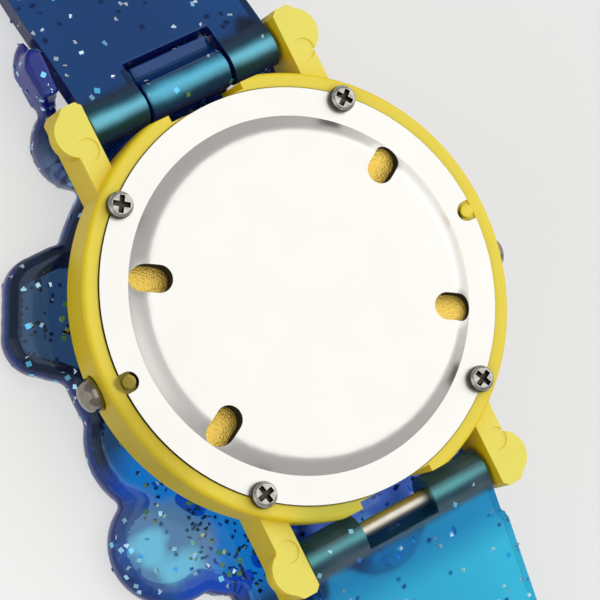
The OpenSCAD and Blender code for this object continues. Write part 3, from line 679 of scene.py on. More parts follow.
# Vinyl, cast: glossy navy lobes with pools of clear blue between them, painted reflections in lavender and
# painted light in pale blue on the lower lobes, painted light in lavender on the upper lobe, a violet horn,
# a teal hinge darkened partly as painted shade with a painted highlight in a cyan band, and painted shade on
# its steep sides
COVER_VINYL = PearlVinyl(
    "vinyl_navy_cast", "#141C40", "#101736", 0.08, 0.05, 6.0, 0.002, 0.6, take=(0.35, 0.06, 0.005),
    spots=(
        Spot("#035CDA", (-13.0, -12.4, -10.0), 8.2, 1.4),
        # Painted reflections: lavender where the tops of the lower lobes mirror the light
        Spot("#676494", (-17.2, -13.8, -10.0), 3.9, 0.7),
        Spot("#676494", (-19.2, -10.4, -10.0), 2.6, 0.8),
        # Painted light: pale blue where light comes through the lower lobe
        Spot("#B0E6FF", (-18.9, -12.9, -10.0), 2.0, 0.5),
        Spot("#B0E6FF", (-17.0, -15.6, -10.0), 2.1, 0.5),
        Spot("#8A86E0", (1.5, -18.6, -10.0), 2.4, 0.6, (0.3, 1.0, 1.0)),
        Spot("#E4F4FB", (0.5, -22.8, -10.0), 3.2, 1.0),
        Spot("#1E58B0", (0.4, 22.6, -5.6), 2.0, 0.4, ALONG_X, 0.45, 0.2),
        # Teal round the hinge's bar, darkened partly as painted shade
        Spot("#0A4878", (0.4, 19.9, -5.0), 2.1, 0.2, ALONG_X, 0.55, 0.2),
        # Painted highlight: a cyan band along the top of the hinge
        Spot("#62CEF2", (0.4, 20.05, -3.2), 0.7, 0.65, ALONG_X, 0.9, 0.3),
    # Painted shade on the steep sides, then spots over it
    ), edge_shade="#101C74", over=(
        Spot("#2424A8", (-11.0, 26.7, -8.0), 4.5, 2.0, milk=0.5),
        # Painted light: lavender where light comes through the upper lobe's thin edge
        Spot("#9690BC", (-11.5, 18.0, -10.0), 2.6, 1.5, milk=0.2),
    ))
# Polyester foil, cut: white to sky-blue glints
FOIL = CutFoil("polyester_foil_cut", "#FFFFFF", "#5CC6F4", 0.32)
# Paper sweep: pale and matt
PAPER = LitPaper("paper_sweep_matt", "#A8A8A7", "#A6A6A5", 0.9, 0.05, 60.0)


def link(piece: Piece) -> Piece:
    """Put a new object into the scene and return it."""
    bpy.context.scene.collection.objects.link(piece)
    return piece


def new_piece(name: str, points: Sequence[Sequence[float]] = (),
              faces: Sequence[Sequence[int]] = ()) -> Piece:
    """Make a mesh object and put it into the scene.

    Args:
        name: Its name.
        points: Its points in metres.
        faces: The numbers of each face's points.

    Returns:
        The new object.
    """
    mesh = bpy.data.meshes.new(name)
    mesh.from_pydata(points, [], faces)
    return link(bpy.data.objects.new(name, mesh))


@contextmanager
def shaping(mesh: Mesh) -> Iterator[BMesh]:
    """Open a mesh for shaping, and write the new form back at the end.

    Args:
        mesh: The mesh.

    Yields:
        Its form.
    """
    form = bmesh.new()
    form.from_mesh(mesh)
    yield form
    form.to_mesh(mesh)
    form.free()


def plain(piece: Piece) -> Piece:
    """Swap a piece's mesh for the one that its modifiers give, and drop the modifiers.

    Args:
        piece: A mesh object with modifiers.

    Returns:
        The same object.
    """
    graph = bpy.context.evaluated_depsgraph_get()
    shown = piece.evaluated_get(graph)
    mesh = bpy.data.meshes.new_from_object(shown, preserve_all_data_layers=True, depsgraph=graph)
    piece.modifiers.clear()
    piece.data = mesh
    return piece


def new_tree(name: str, kinds: dict[str, str]) -> tuple[Tree, dict[str, Socket]]:
    """Make a Geometry Nodes tree that takes a mesh and gives one.

    Args:
        name: Its name.
        kinds: The kind of each further input by its name.

    Returns:
        The tree, and its inputs by their names.
    """
    tree = bpy.data.node_groups.new(name, "GeometryNodeTree")
    for key, kind in {"Geometry": "Geometry", **kinds}.items():
        tree.interface.new_socket(key, in_out="INPUT", socket_type="NodeSocket" + kind)
    tree.interface.new_socket("Geometry", in_out="OUTPUT", socket_type="NodeSocketGeometry")
    return tree, dict(add_node(tree, "NodeGroupInput").outputs.items())


def end_tree(tree: Tree, copies: Node, *coats: tuple[Finish, Setting]) -> None:
    """End a Geometry Nodes tree with real copies in their finishes.

    Args:
        tree: The tree.
        copies: The node that gives the copies.
        *coats: Each finish with the faces that it covers, or with True for all.
    """
    shown = add_node(tree, "GeometryNodeRealizeInstances", {"Geometry": copies})
    for finish, faces in coats:
        shown = add_node(tree, "GeometryNodeSetMaterial", {
            "Geometry": shown, "Selection": faces, "Material": finish.material(),
        })
    add_node(tree, "NodeGroupOutput", {"Geometry": shown})


def grown(piece: Piece, tree: Tree, values: dict[str, Setting]) -> Piece:
    """Put a Geometry Nodes tree on a piece with its named inputs, and keep the plain result.

    Args:
        piece: The object that the tree works on.
        tree: The tree.
        values: A value for each named input.

    Returns:
        The same object, with the tree's mesh.
    """
    modifier = piece.modifiers.new(tree.name, "NODES")
    modifier.node_group = tree
    for item in tree.interface.items_tree:
        if item.in_out == "INPUT" and item.name in values:
            modifier[item.identifier] = values[item.name]
    return plain(piece)


def welded_copy(node: str, name: str) -> Piece:
    """Copy a node's mesh as one closed skin with whole flat faces.

    Args:
        node: The node to copy.
        name: Name of the new piece.

    Returns:
        The new piece.
    """
    piece = new_piece(name)
    with shaping(piece.data) as skin:
        skin.from_mesh(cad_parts[node].data)
        bmesh.ops.remove_doubles(skin, verts=skin.verts, dist=MERGE)
        bmesh.ops.dissolve_limit(skin, angle_limit=FLAT_ANGLE, verts=skin.verts, edges=skin.edges)
        for face in skin.faces:
            face.smooth = True
    return piece


def round_edges(piece: Piece, edge: float, steps: int) -> Piece:
    """Round a piece's sharp edges.

    Args:
        piece: A closed mesh object.
        edge: Width of the rounding.
        steps: Faces across the rounding.

    Returns:
        The same object.
    """
    rounding = piece.modifiers.new("rounding", "BEVEL")
    rounding.limit_method = "ANGLE"
    rounding.angle_limit = EDGE_ANGLE
    rounding.width = edge * MM
    rounding.segments = steps
    rounding.use_clamp_overlap = True
    shading = piece.modifiers.new("shading", "WEIGHTED_NORMAL")
    shading.keep_sharp = True
    return plain(piece)


def add_skin(form: BMesh, rings: Sequence[Sequence[Vector]], capped: bool) -> None:
    """Add a closed skin to a form.

    Args:
        form: Mesh that takes it.
        rings: Its outlines in turn, with as many points each.
        capped: Whether faces close its ends, and the last outline doesn't join the first.
    """
    loops = [[form.verts.new(point) for point in ring] for ring in rings]
    faces = [form.faces.new(loops[0]), form.faces.new(reversed(loops[-1]))] if capped else []
    for k in range(int(capped), len(loops)):
        last, loop = loops[k - 1], loops[k]
        for i, corner in enumerate(loop):
            faces.append(form.faces.new((last[i - 1], last[i], corner, loop[i - 1])))
    bmesh.ops.recalc_face_normals(form, faces=faces)


def settle(piece: Piece, body: str, finish: Finish, slot: str, *nodes: str) -> Piece:
    """Dress a new piece, let it ride on its body and hide the nodes that it stands for.

    Args:
        piece: The finished mesh object.
        body: The body that it moves with.
        finish: Its finish.
        slot: The record's material slot; not used.
        *nodes: Nodes that it stands for.

    Returns:
        The same piece.
    """
    if finish.material().name not in piece.data.materials:
        piece.data.materials.clear()
        piece.data.materials.append(finish.material())
    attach(piece, body)
    if nodes:
        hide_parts(*nodes)
    LOG.info("%s rides on %s: %d faces", piece.name, body, len(piece.data.polygons))
    return piece


def stand_in(node: str, edge: float, steps: int, body: str, finish: Finish, slot: str) -> Piece:
    """Put a copy with rounded edges in the place of a node.

    Args:
        node: The node.
        edge: Width of the rounding.
        steps: Faces across the rounding.
        body: The body that the copy moves with.
        finish: Its finish.
        slot: The record's material slot.

    Returns:
        The copy.
    """
    copy = round_edges(welded_copy(node, node + "_skin"), edge, steps)
    return settle(copy, body, finish, slot, node)


def dress(finish: Finish, *nodes: str) -> None:
    """Give CAD nodes that stay in view their finish.

    Args:
        finish: The finish.
        *nodes: The nodes.
    """
    for node in nodes:
        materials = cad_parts[node].data.materials
        materials.clear()
        materials.append(finish.material())
        LOG.info("%s: %s", node, finish.name)


@dataclass(frozen=True)
class SoftBox:
    """A wide lamp that faces the part.

    Attributes:
        name: Name of the lamp.
        direction: Where it is, seen from the part.
        radiance: Brightness of its face above that of the sky.
        along: Its width along the straps in metres.
        across: Its width across the straps in metres.
        reach: Its distance in metres.
    """

    name: str
    direction: Point
    radiance: float
    along: float
    across: float
    reach: float = 0.6

    def build(self) -> None:
        """Hang the lamp."""
        lamp = bpy.data.lights.new(self.name, "AREA")
        lamp.shape = "RECTANGLE"
        lamp.size = self.along
        lamp.size_y = self.across
        lamp.energy = self.radiance * math.pi * self.along * self.across
        hung = link(bpy.data.objects.new(self.name, lamp))
        away = Vector(self.direction).normalized()
        hung.location = away * self.reach
        hung.rotation_euler = away.to_track_quat("Z", "Y").to_euler()


@dataclass
class Studio:
    """Pale floor, soft light and the camera of the photograph.

    Attributes:
        floor_w: Width of the floor in metres.
        sky: Brightness of the even light from all round.
        boxes: The lamps.
        eye: Place of the camera in metres.
        right: The camera's axis to the right.
        up: The camera's axis up.
        back: The camera's axis backwards.
        lens: Focal length.
        film: Width of the film.
    """

    floor_w: float = 6.0
    sky: float = 0.46
    boxes: tuple[SoftBox, ...] = (
        SoftBox("overhead_box", (0.42, 0.0, 0.91), 0.88, 0.68, 0.85),
        SoftBox("left_box", (-0.65, 0.0, 0.75), 0.3, 0.4, 0.45),
        SoftBox("low_left_box", (-0.95, 0.1, 0.3), 0.5, 0.5, 0.5),
        SoftBox("right_box", (0.95, 0.0, 0.3), 0.8, 0.5, 0.5),
    )
    eye: Point = (-0.092809, 0.005019, 0.220374)
    right: Point = (0.82297, -0.44400, 0.35440)
    up: Point = (0.41754, 0.89575, 0.15265)
    back: Point = (-0.38522, 0.02235, 0.92256)
    lens: float = 175.64
    film: float = 36.0

    def build(self) -> None:
        """Build the floor, the lights and the camera."""
        self.build_floor()
        self.build_sky()
        for box in self.boxes:
            box.build()
        self.build_camera()

    def build_floor(self) -> None:
        """Lay the floor under the lowest point of the part."""
        half = self.floor_w / 2
        level = CAD_BOX[0].z
        corners = [(-half, -half, level), (half, -half, level), (half, half, level), (-half, half, level)]
        floor = new_piece("floor", corners, [(0, 1, 2, 3)])
        floor.data.materials.append(PAPER.material())

    def build_sky(self) -> None:
        """Light the scene evenly from all round."""
        world = bpy.data.worlds.new("studio")
        world.use_nodes = True
        tree = world.node_tree
        tree.nodes.clear()
        glow = add_node(tree, "ShaderNodeBackground", {"Color": linear("#FFFFFF"), "Strength": self.sky})
        add_node(tree, "ShaderNodeOutputWorld", {"Surface": glow})
        bpy.context.scene.world = world

    def build_camera(self) -> None:
        """Set up the camera at the angle of the photograph."""
        camera = bpy.data.cameras.new("camera")
        camera.lens = self.lens
        camera.sensor_width = self.film
        held = link(bpy.data.objects.new("camera", camera))
        axes = Matrix((self.right, self.up, self.back)).transposed().to_4x4()
        held.matrix_world = Matrix.Translation(self.eye) @ axes
        bpy.context.scene.camera = held


@dataclass
class Glitter:
    """Foil flakes that lie in a moulding's skin.

    Attributes:
        density: Flakes per square millimetre where they lie thickest.
        radius: Half the diagonal of the largest flake.
        thick: Thickness of a flake.
        lowest: Lowest place of a flake's middle above the skin.
        highest: Highest place of a flake's middle above the skin.
        tilt: Greatest tilt of a flake.
        seed: Seed of the random places.
        drift: Width of the drifts in which flakes lie.
        bare: Strength of the drifts' noise up to which there are no flakes.
        full: Strength of the drifts' noise from which they lie thickest.
        smallest: Size of the smallest flake as a share of the largest.
    """

    density: float = 0.3
    radius: float = 0.3
    thick: float = 0.03
    lowest: float = -0.06
    highest: float = 0.015
    tilt: float = 14.0
    seed: int = 7
    drift: float = 4.0
    bare: float = 0.38
    full: float = 0.66
    smallest: float = 0.55

    def values(self) -> dict[str, Setting]:
        """Return the tree's named inputs in Blender's own units."""
        return {
            "Density": self.density / MM ** 2,
            "Radius": self.radius * MM,
            "Thickness": self.thick * MM,
            "Lowest": self.lowest * MM,
            "Highest": self.highest * MM,
            "Tilt": math.radians(self.tilt),
            "Seed": self.seed,
            "Drift": per_mm(self.drift),
            "Bare": self.bare,
            "Full": self.full,
            "Smallest": self.smallest,
        }

    def tree(self) -> Tree:
        """Return the tree that strews flakes over a mesh, which is made once."""
        found = bpy.data.node_groups.get("glitter")
        if found:
            return found
        kinds = {name: "Int" if name == "Seed" else "Float" for name in self.values()}
        tree, given = new_tree("glitter", kinds)
        drifts = add_node(tree, "ShaderNodeTexNoise", {"Scale": given["Drift"], "Detail": 1.0})
        share = add_node(tree, "ShaderNodeMapRange", {
            "Value": drifts, "From Min": given["Bare"], "From Max": given["Full"],
        })
        local = add_node(tree, "ShaderNodeMath", {0: given["Density"], 1: share}, operation="MULTIPLY")
        strewn = add_node(tree, "GeometryNodeDistributePointsOnFaces", {
            "Mesh": given["Geometry"], "Density": local, "Seed": given["Seed"],
        })
        lift = add_node(tree, "FunctionNodeRandomValue", {
            RANDOM_MIN: given["Lowest"], RANDOM_MAX: given["Highest"], RANDOM_SEED: given["Seed"],
        })
        offset = add_node(tree, "ShaderNodeVectorMath", operation="SCALE", inputs={
            0: strewn.outputs["Normal"], "Scale": lift,
        })
        sunk = add_node(tree, "GeometryNodeSetPosition", {"Geometry": strewn, "Offset": offset})
        back = add_node(tree, "ShaderNodeMath", {0: given["Tilt"], 1: -1.0}, operation="MULTIPLY")
        least = add_node(tree, "ShaderNodeCombineXYZ", {"X": back, "Y": back})
        most = add_node(tree, "ShaderNodeCombineXYZ", {
            "X": given["Tilt"], "Y": given["Tilt"], "Z": math.tau,
        })
        lean = add_node(tree, "FunctionNodeRandomValue", data_type="FLOAT_VECTOR", inputs={
            "Min": least, "Max": most, RANDOM_SEED: given["Seed"],
        })
        turned = add_node(tree, "FunctionNodeRotateRotation", rotation_space="LOCAL", inputs={
            "Rotation": strewn.outputs["Rotation"], "Rotate By": lean,
        })
        flake = add_node(tree, "GeometryNodeMeshCylinder", {
            "Vertices": 4, "Radius": given["Radius"], "Depth": given["Thickness"],
        })
        size = add_node(tree, "FunctionNodeRandomValue", {
            RANDOM_MIN: given["Smallest"], RANDOM_SEED: given["Seed"],
        })
        laid = add_node(tree, "GeometryNodeInstanceOnPoints", {
            "Points": sunk, "Instance": flake, "Rotation": turned, "Scale": size,
        })
        shade = add_node(tree, "FunctionNodeRandomValue", {RANDOM_SEED: given["Seed"]})
        tinted = add_node(tree, "GeometryNodeStoreNamedAttribute", data_type="FLOAT", domain="INSTANCE",
                          inputs={"Geometry": laid, "Name": TINT, "Value": shade})
        end_tree(tree, tinted, (FOIL, True))
        return tree

    def strew(self, skin: Piece, name: str, body: str) -> None:
        """Strew flakes over a vinyl moulding, as one new piece.

        Args:
            skin: The moulding.
            name: Name of the new piece.
            body: The body that it moves with.
        """
        flakes = link(bpy.data.objects.new(name, skin.data.copy()))
        settle(grown(flakes, self.tree(), self.values()), body, FOIL, VINYL_SLOT)


@dataclass
class CaseShell:
    """Moulded case with its rim, lugs and bezel.

    Attributes:
        edge: Rounding of its edges.
    """

    edge: float = 0.12

    def build(self) -> None:
        """Build the case."""
        stand_in("case_body", self.edge, 2, "case", YELLOW_ABS, "yellow_abs")


@dataclass
class BackCover:
    """Pressed back plate with its screws, its seal and the sounder behind its slots.

    Attributes:
        edge: Rounding of the plate's edges.
        screw_edge: Rounding of a screw's edges.
        screw_r: Distance of the screws from the middle.
        screw_angle: Angle of the screws from the X axis.
        recess_r: Radius within which a screw's recess lies.
        recess_low: Least depth of the recess's walls below the top of the head.
        recess_deep: Greatest depth of the recess below the top of the head.
        slot_r: Distance of the slots' middles from the plate's middle.
        slot_angle: Angle of the slots from the X axis.
        sleeve: Half the straight length of the sleeve under a slot, and the radius of its round ends.
        sleeve_t: Wall of the sleeve.
        sleeve_z: Level of the sleeve's foot.
        sleeve_gap: Gap between the sleeve and the plate.
        sleeve_step: Turn from point to point of the sleeve's round ends.
        plate_t: Thickness of the plate.
        step: Radius of the foot of the plate's slope, width of the slope and its rise.
        wall_lean: Greatest share of a wall's normal that points along Z.
        seed: Seed of the turns at which the screws were left.
    """

    edge: float = 0.12
    screw_edge: float = 0.08
    screw_r: float = 17.0
    screw_angle: float = 50.0
    recess_r: float = 0.9
    recess_low: float = 0.12
    recess_deep: float = 0.6
    slot_r: float = 13.2
    slot_angle: float = 30.0
    sleeve: Flat = (0.6, 1.2)
    sleeve_t: float = 0.15
    sleeve_z: float = -1.58
    sleeve_gap: float = 0.05
    sleeve_step: int = 15
    plate_t: float = 0.4
    step: Point = (14.95, 1.75, 0.9)
    wall_lean: float = 0.4
    seed: int = 3

    def build(self) -> None:
        """Build the plate and its screws, and dress what lies behind it."""
        # The plate's inner side and the walls of its slots and edge carry painted shade in black
        self.paint_slot_shade(stand_in("back_plate", self.edge, 2, "case", STEEL_SHEET, "satin_steel"))
        settle(self.screws(), "case", ZINC, "bright_steel", "back_screws")
        # Black sleeves under the slots: painted shade between the plate and the sounder
        settle(self.sleeves(), "case", RUBBER, "nitrile_rubber")
        dress(RUBBER, "back_seal")
        dress(BRASS, "sounder_disc")
        dress(CERAMIC, "sounder_ceramic")
        dress(SPRING_STEEL, "sounder_contact")

    def paint_slot_shade(self, plate: Piece) -> None:
        """Paint shade in black on the plate's inner side and the walls of its slots and edge.

        Args:
            plate: The plate.
        """
        plate.data.materials.append(SLOT_SHADE.material())
        for face in plate.data.polygons:
            if face.normal.z < self.wall_lean:
                face.material_index = 1

    def screw(self) -> Piece:
        """Return one screw, cut out of the node and set upright at the middle."""
        piece = welded_copy("back_screws", "screw_form")
        with shaping(piece.data) as form:
            others = [v for v in form.verts if v.co.x < 0 or v.co.y < 0]
            bmesh.ops.delete(form, geom=others, context="VERTS")
            bmesh.ops.translate(form, verts=form.verts, vec=-polar(self.screw_r, self.screw_angle))
        round_edges(piece, self.screw_edge, 2)
        top = max(v.co.z for v in piece.data.vertices)
        # The recess and the side of the head carry painted shade
        dark = piece.data.attributes.new(DARK, "BOOLEAN", "FACE")
        for face, mark in zip(piece.data.polygons, dark.data):
            depth = top - face.center.z
            near = face.center.xy.length < self.recess_r * MM
            recess = near and self.recess_low * MM < depth < self.recess_deep * MM
            mark.value = recess or face.normal.z < self.wall_lean
        return piece

    def screws(self) -> Piece:
        """Return the four screws, each at its own turn."""
        turns = (self.screw_angle, 180 - self.screw_angle, 180 + self.screw_angle, -self.screw_angle)
        holes = new_piece("back_screws_set", [polar(self.screw_r, turn) for turn in turns])
        form = self.screw()
        driven = grown(holes, self.screw_tree(), {"Screw": form, "Seed": self.seed})
        bpy.data.objects.remove(form)
        return driven

    def screw_tree(self) -> Tree:
        """Return the tree that drives a screw into each point."""
        tree, given = new_tree("screws", {"Screw": "Object", "Seed": "Int"})
        form = add_node(tree, "GeometryNodeObjectInfo", {"Object": given["Screw"]})
        turn = add_node(tree, "FunctionNodeRandomValue", data_type="FLOAT_VECTOR", inputs={
            "Min": (0.0, 0.0, 0.0), "Max": (0.0, 0.0, math.tau), RANDOM_SEED: given["Seed"],
        })
        driven = add_node(tree, "GeometryNodeInstanceOnPoints", {
            "Points": given["Geometry"], "Instance": form.outputs["Geometry"], "Rotation": turn,
        })
        recess = add_node(tree, "GeometryNodeInputNamedAttribute", {"Name": DARK}, data_type="BOOLEAN")
        end_tree(tree, driven, (ZINC, True), (SCREW_SHADE, recess))
        return tree

    def sleeves(self) -> Piece:
        """Return the black sleeves between the slots and the sounder, painted shade that stands in for the
        shade there.
        """
        turns = (self.slot_angle, self.slot_angle + 180, 180 - self.slot_angle, 360 - self.slot_angle)
        slots = new_piece("slot_sleeves", [polar(self.slot_r, turn) for turn in turns])
        sleeve = new_piece("sleeve_form")
        inner, outer = self.sleeve[1], self.sleeve[1] + self.sleeve_t
        walls = ((outer, False), (outer, True), (inner, True), (inner, False))
        with shaping(sleeve.data) as form:
            add_skin(form, [self.ring(radius, top) for radius, top in walls], capped=False)
        laid = grown(slots, self.sleeve_tree(), {"Sleeve": sleeve})
        bpy.data.objects.remove(sleeve)
        return laid

    def ring(self, radius: float, top: bool) -> list[Vector]:
        """Return one edge of a sleeve about the middle of its slot.

        Args:
            radius: Radius of its round ends.
            top: Whether it follows the inner side of the plate, and doesn't lie on the sounder.

        Returns:
            Its points in metres.
        """
        points = []
        for turn in range(-90, 270, self.sleeve_step):
            angle = math.radians(turn)
            x = math.copysign(self.sleeve[0], math.cos(angle)) + radius * math.cos(angle)
            level = self.ceiling(self.slot_r + x) - self.sleeve_gap if top else self.sleeve_z
            points.append(Vector((x, radius * math.sin(angle), level)) * MM)
        return points

    def ceiling(self, away: float) -> float:
        """Return the level of the plate's inner side at a distance from its middle.

        Args:
            away: The distance.

        Returns:
            The level.
        """
        foot, width, rise = self.step
        share = min(max((foot - self.plate_t / 2 - away) / width, 0.0), 1.0)
        return rise * (math.sin(share * math.pi / 2) - 1.0) - self.plate_t

    def sleeve_tree(self) -> Tree:
        """Return the tree that lays a sleeve at each point, along the line to the middle."""
        tree, given = new_tree("sleeves", {"Sleeve": "Object"})
        form = add_node(tree, "GeometryNodeObjectInfo", {"Object": given["Sleeve"]})
        place = add_node(tree, "GeometryNodeInputPosition")
        turn = add_node(tree, "FunctionNodeAlignRotationToVector", {"Vector": place}, axis="X")
        laid = add_node(tree, "GeometryNodeInstanceOnPoints", {
            "Points": given["Geometry"], "Instance": form.outputs["Geometry"], "Rotation": turn,
        })
        end_tree(tree, laid, (RUBBER, True))
        return tree


@dataclass
class Display:
    """Digits of the display, seen from the front through the lens.

    Attributes:
        text: Digits to show, with a colon between hours and minutes.
        digit_w: Width of a digit.
        digit_h: Height of a digit.
        pitch: Distance from digit to digit.
        bar: Width of a segment.
        gap: Gap between segments.
        thick: Thickness of a segment.
        slant: How far a digit leans, as a share of its height.
    """

    text: str = "10:08"
    digit_w: float = 2.5
    digit_h: float = 5.2
    pitch: float = 3.3
    bar: float = 0.62
    gap: float = 0.07
    thick: float = 0.03
    slant: float = 0.09

    def build(self) -> None:
        """Build the digits on the display's front face."""
        low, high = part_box("display_glass")
        middle = (low + high) / 2
        width = self.pitch * (len(self.text) - 1)
        digits = new_piece("display_digits")
        with shaping(digits.data) as form:
            for count, sign in enumerate(self.text):
                across = count * self.pitch - width / 2
                for outline in self.outlines(sign):
                    moved = [(across + u, v) for u, v in outline]
                    add_skin(form, self.rings(moved, middle, low.z), capped=True)
        settle(digits, "case", DARK_SEGMENT, "printed_mask")

    def outlines(self, sign: str) -> list[list[Flat]]:
        """Return the outlines of a sign's segments.

        Args:
            sign: A digit or a colon.

        Returns:
            Outlines from the sign's middle, with u to the right and v up.
        """
        half_w, half_h = (self.digit_w - self.bar) / 2, (self.digit_h - self.bar) / 2
        half = self.bar / 2
        if sign == ":":
            return [[(-half, v - half), (half, v - half), (half, v + half), (-half, v + half)]
                    for v in (-half_h / 2, half_h / 2)]
        ends = {
            "a": ((-half_w, half_h), (half_w, half_h)),
            "b": ((half_w, half_h), (half_w, 0.0)),
            "c": ((half_w, 0.0), (half_w, -half_h)),
            "d": ((-half_w, -half_h), (half_w, -half_h)),
            "e": ((-half_w, 0.0), (-half_w, -half_h)),
            "f": ((-half_w, half_h), (-half_w, 0.0)),
            "g": ((-half_w, 0.0), (half_w, 0.0)),
        }
        lit = {"0": "abcdef", "1": "bc", "8": "abcdefg"}
        return [self.segment(*ends[name]) for name in lit[sign]]

    def segment(self, start: Flat, end: Flat) -> list[Flat]:
        """Return the six-cornered outline of one segment.

        Args:
            start: Corner of the digit where it starts.
            end: Corner of the digit where it ends.

        Returns:
            Its leaning outline.
        """
        a, b = Vector(start), Vector(end)
        along = (b - a).normalized()
        side = Vector((-along.y, along.x)) * self.bar / 2
        point = along * self.gap
        neck = along * (self.gap + self.bar / 2)
        outline = (a + point, a + neck - side, b - neck - side, b - point, b - neck + side, a + neck + side)
        return [(p.x + p.y * self.slant, p.y) for p in outline]

    def rings(self, outline: Sequence[Flat], middle: Vector, level: float) -> list[list[Vector]]:
        """Return the end outlines of a segment that lies on the display.

        Args:
            outline: Its outline, with u to the right as seen from the front.
            middle: Middle of the display in metres.
            level: Level of the display's front face in metres.

        Returns:
            One outline on the display and one in front of it.
        """
        return [[Vector((middle.x - u * MM, middle.y + v * MM, z)) for u, v in outline]
                for z in (level, level - self.thick * MM)]


@dataclass
class Movement:
    """What the case holds between the back plate and the lens."""

    def build(self) -> None:
        """Dress the inner pieces and build the display's digits."""
        dress(WHITE_ABS, "movement_frame")
        dress(BOARD, "circuit_board")
        dress(EPOXY, "chip_cap")
        dress(CELL_STEEL, "quartz_can", "button_cell")
        dress(SPRING_STEEL, "cell_clamp", "switch_leaves")
        dress(LCD_GLASS, "display_glass")
        dress(SILVER_FILM, "display_reflector")
        dress(PINK_ELASTOMER, "display_contacts")
        dress(PRINTED_FILM, "dial_mask")
        dress(CLEAR_ACRYLIC, "lens")
        Display().build()


@dataclass
class Pusher:
    """One push button with its spring, seal ring and clip.

    Attributes:
        side: Which side it is on.
        edge: Rounding of its cap.
    """

    side: Side
    edge: float = 0.16

    def build(self) -> None:
        """Build the button and dress its small pieces."""
        name = self.side.value + "_pusher"
        stand_in(name, self.edge, 3, self.side.value + "_button", CHROME, "bright_steel")
        dress(SPRING_STEEL, name + "_spring", name + "_clip")
        dress(RUBBER, name + "_seal")


@dataclass
class SpringBar:
    """Tube, pins and springs that hold a strap between its lugs.

    Attributes:
        end: Which strap it holds.
        slack: Room left between a spring and its pin; not used.
    """

    end: End
    slack: float = 0.02

    def build(self) -> None:
        """Dress the bar and its pins, and build the springs behind them."""
        dress(GROUND_STEEL, self.end.value + "_bar")
        for side in Side:
            pin = f"{self.end.value}_{side.value}_pin"
            dress(GROUND_STEEL, pin)
            self.spring(pin)

    def spring(self, pin: str) -> None:
        """Build a spring as a copy of its node.

        Args:
            pin: The pin that presses on it.
        """
        coil = welded_copy(pin + "_spring", pin + "_coil")
        settle(coil, "case", SPRING_STEEL, "spring_steel", pin + "_spring")
        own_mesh(coil)


@dataclass
class Strap:
    """One vinyl strap with glitter in it.

    Attributes:
        end: Which strap it is.
        vinyl: Its finish.
        glitter: Its flakes.
        edge: Rounding of its edges.
    """

    end: End
    vinyl: PearlVinyl
    glitter: Glitter
    edge: float = 0.35

    def build(self) -> None:
        """Build the strap and its flakes."""
        name = self.end.value + "_strap"
        body = name + "_body"
        skin = stand_in(name, self.edge, 3, body, self.vinyl, VINYL_SLOT)
        self.glitter.strew(skin, name + "_glitter", body)


@dataclass
class Keeper:
    """Vinyl loop that holds the strap's end.

    Attributes:
        glitter: Its flakes.
        edge: Rounding of its edges.
    """

    glitter: Glitter
    edge: float = 0.3

    def build(self) -> None:
        """Build the loop and its flakes."""
        loop = stand_in("keeper_loop", self.edge, 3, "keeper", SHADED_VINYL, VINYL_SLOT)
        self.glitter.strew(loop, "keeper_glitter", "keeper")


@dataclass
class Buckle:
    """Steel buckle with its bar and tongue.

    Attributes:
        edge: Rounding of the frame's edges.
        tongue_edge: Rounding of the tongue's edges.
    """

    edge: float = 0.3
    tongue_edge: float = 0.15

    def build(self) -> None:
        """Build the frame and the tongue, and dress the bar."""
        stand_in("buckle_frame", self.edge, 3, "buckle", NICKEL, "bright_steel")
        stand_in("buckle_tongue", self.tongue_edge, 2, "tongue", NICKEL, "bright_steel")
        dress(NICKEL, "buckle_bar")


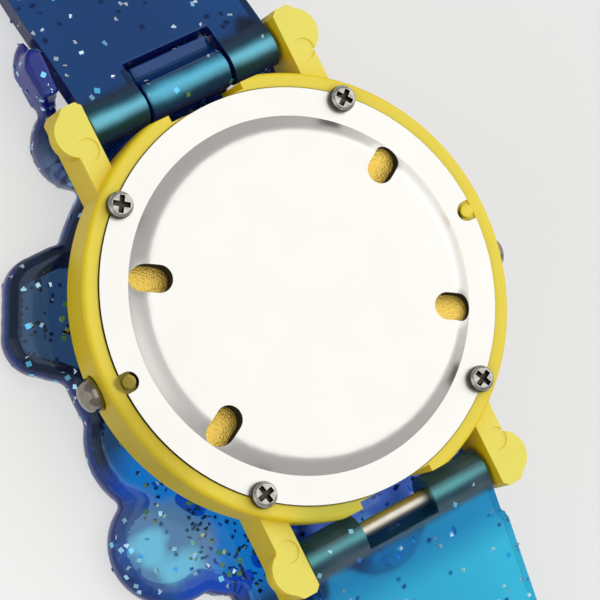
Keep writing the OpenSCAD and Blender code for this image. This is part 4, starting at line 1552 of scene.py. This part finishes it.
@dataclass
class FlipCover:
    """Cast vinyl cover with lobes, over the dial.

    Attributes:
        glitter: Its flakes.
        voxel: Size of the cells that it is cast from.
        passes: How often its creases are smoothed.
        ease: Strength of one smoothing.
        leaf_x: Lowest and highest place of the leaf behind its hinge along X.
        leaf_r: Radius of the leaf.
        leaf_turn: Lowest and highest angle of the leaf from the Y axis.
        leaf_step: Turn from point to point of the leaf's edge.
        lips: Rims of the cover under the straps' roots and the neck of its horn, each with its ends along X
            and its outline in Y and Z.
        swells: Swells of the horn and of the rim under the upper strap, each with its levels and its
            outline in X and Y.
    """

    glitter: Glitter
    voxel: float = 0.28
    passes: int = 5
    ease: float = 0.5
    leaf_x: Flat = (-3.5, 4.3)
    leaf_r: float = 3.1
    leaf_turn: tuple[int, int] = (-75, 5)
    leaf_step: int = 10
    lips: tuple[tuple[Flat, tuple[Flat, ...]], ...] = (
        ((-9.2, -3.7), ((15.5, -9.0), (18.4, -9.2), (17.8, -11.7), (15.5, -11.7))),
        ((-7.6, 6.8), ((-15.5, -9.0), (-19.4, -9.0), (-19.4, -11.7), (-15.5, -11.7))),
        ((-10.6, -9.4), ((23.7, -5.6), (23.3, -6.9), (22.5, -8.0), (21.6, -8.7), (21.6, -9.8),
                         (24.3, -9.8), (24.3, -5.6))),
    )
    swells: tuple[tuple[Flat, tuple[Flat, ...]], ...] = (
        ((-9.3, -5.2), ((-9.35, 23.7), (-9.35, 27.6), (-10.4, 28.0), (-11.2, 26.8), (-11.0, 23.7))),
        ((-9.6, -7.3), ((-9.2, 17.2), (-7.0, 17.7), (-5.5, 18.2), (-3.7, 18.6), (-3.7, 19.05),
                        (-9.2, 18.9))),
    )

    def build(self) -> None:
        """Build the cover and its flakes."""
        skin = welded_copy("flip_cover", "flip_cover_skin")
        self.add_forms(skin.data)
        self.cast(skin)
        settle(skin, "cover", COVER_VINYL, VINYL_SLOT, "flip_cover")
        self.glitter.strew(skin, "flip_cover_glitter", "cover")

    def add_forms(self, mesh: Mesh) -> None:
        """Add the leaf in the notch of the strap, and the rims and swells beside and under the straps.

        Args:
            mesh: The cover's own new mesh.
        """
        low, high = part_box("upper_bar")
        axis = (low + high) / 2 / MM
        first, last = self.leaf_turn
        turns = [math.radians(turn) for turn in range(first, last + 1, self.leaf_step)]
        fan = [(self.leaf_r * math.cos(t), self.leaf_r * math.sin(t)) for t in turns]
        leaf = [(axis.y + y, axis.z + z) for y, z in [(0.0, 0.0)] + fan]
        with shaping(mesh) as form:
            for ends, outline in ((self.leaf_x, leaf), *self.lips):
                add_skin(form, [[Vector((x, y, z)) * MM for y, z in outline] for x in ends], capped=True)
            for levels, outline in self.swells:
                add_skin(form, [[Vector((x, y, z)) * MM for x, y in outline] for z in levels], capped=True)

    def cast(self, piece: Piece) -> None:
        """Turn the cover's closed skins into one casting whose creases flow into each other.

        Args:
            piece: The cover's own new piece.
        """
        cells = piece.modifiers.new("cells", "REMESH")
        cells.mode = "VOXEL"
        cells.voxel_size = self.voxel * MM
        cells.use_smooth_shade = True
        flow = piece.modifiers.new("flow", "SMOOTH")
        flow.factor = self.ease
        flow.iterations = self.passes
        plain(piece)


def main() -> None:
    """Build the watch and its studio."""
    logging.basicConfig(level=logging.INFO, format="%(name)s: %(message)s")
    bpy.context.scene.view_settings.view_transform = "Standard"
    Studio().build()
    CaseShell().build()
    BackCover().build()
    Movement().build()
    for side in Side:
        Pusher(side).build()
    for end in End:
        SpringBar(end).build()
    coarse = Glitter(density=0.25, radius=0.36, lowest=-0.02, highest=0.03, seed=11)
    Strap(End.UPPER, SHADED_VINYL, coarse, edge=0.2).build()
    Strap(End.LOWER, CLEAR_VINYL, Glitter(seed=23)).build()
    Keeper(Glitter(seed=5)).build()
    Buckle().build()
    FlipCover(Glitter(density=1.6, radius=0.32, lowest=-0.06, highest=0.04, seed=31)).build()


if __name__ == "__main__":
    main()
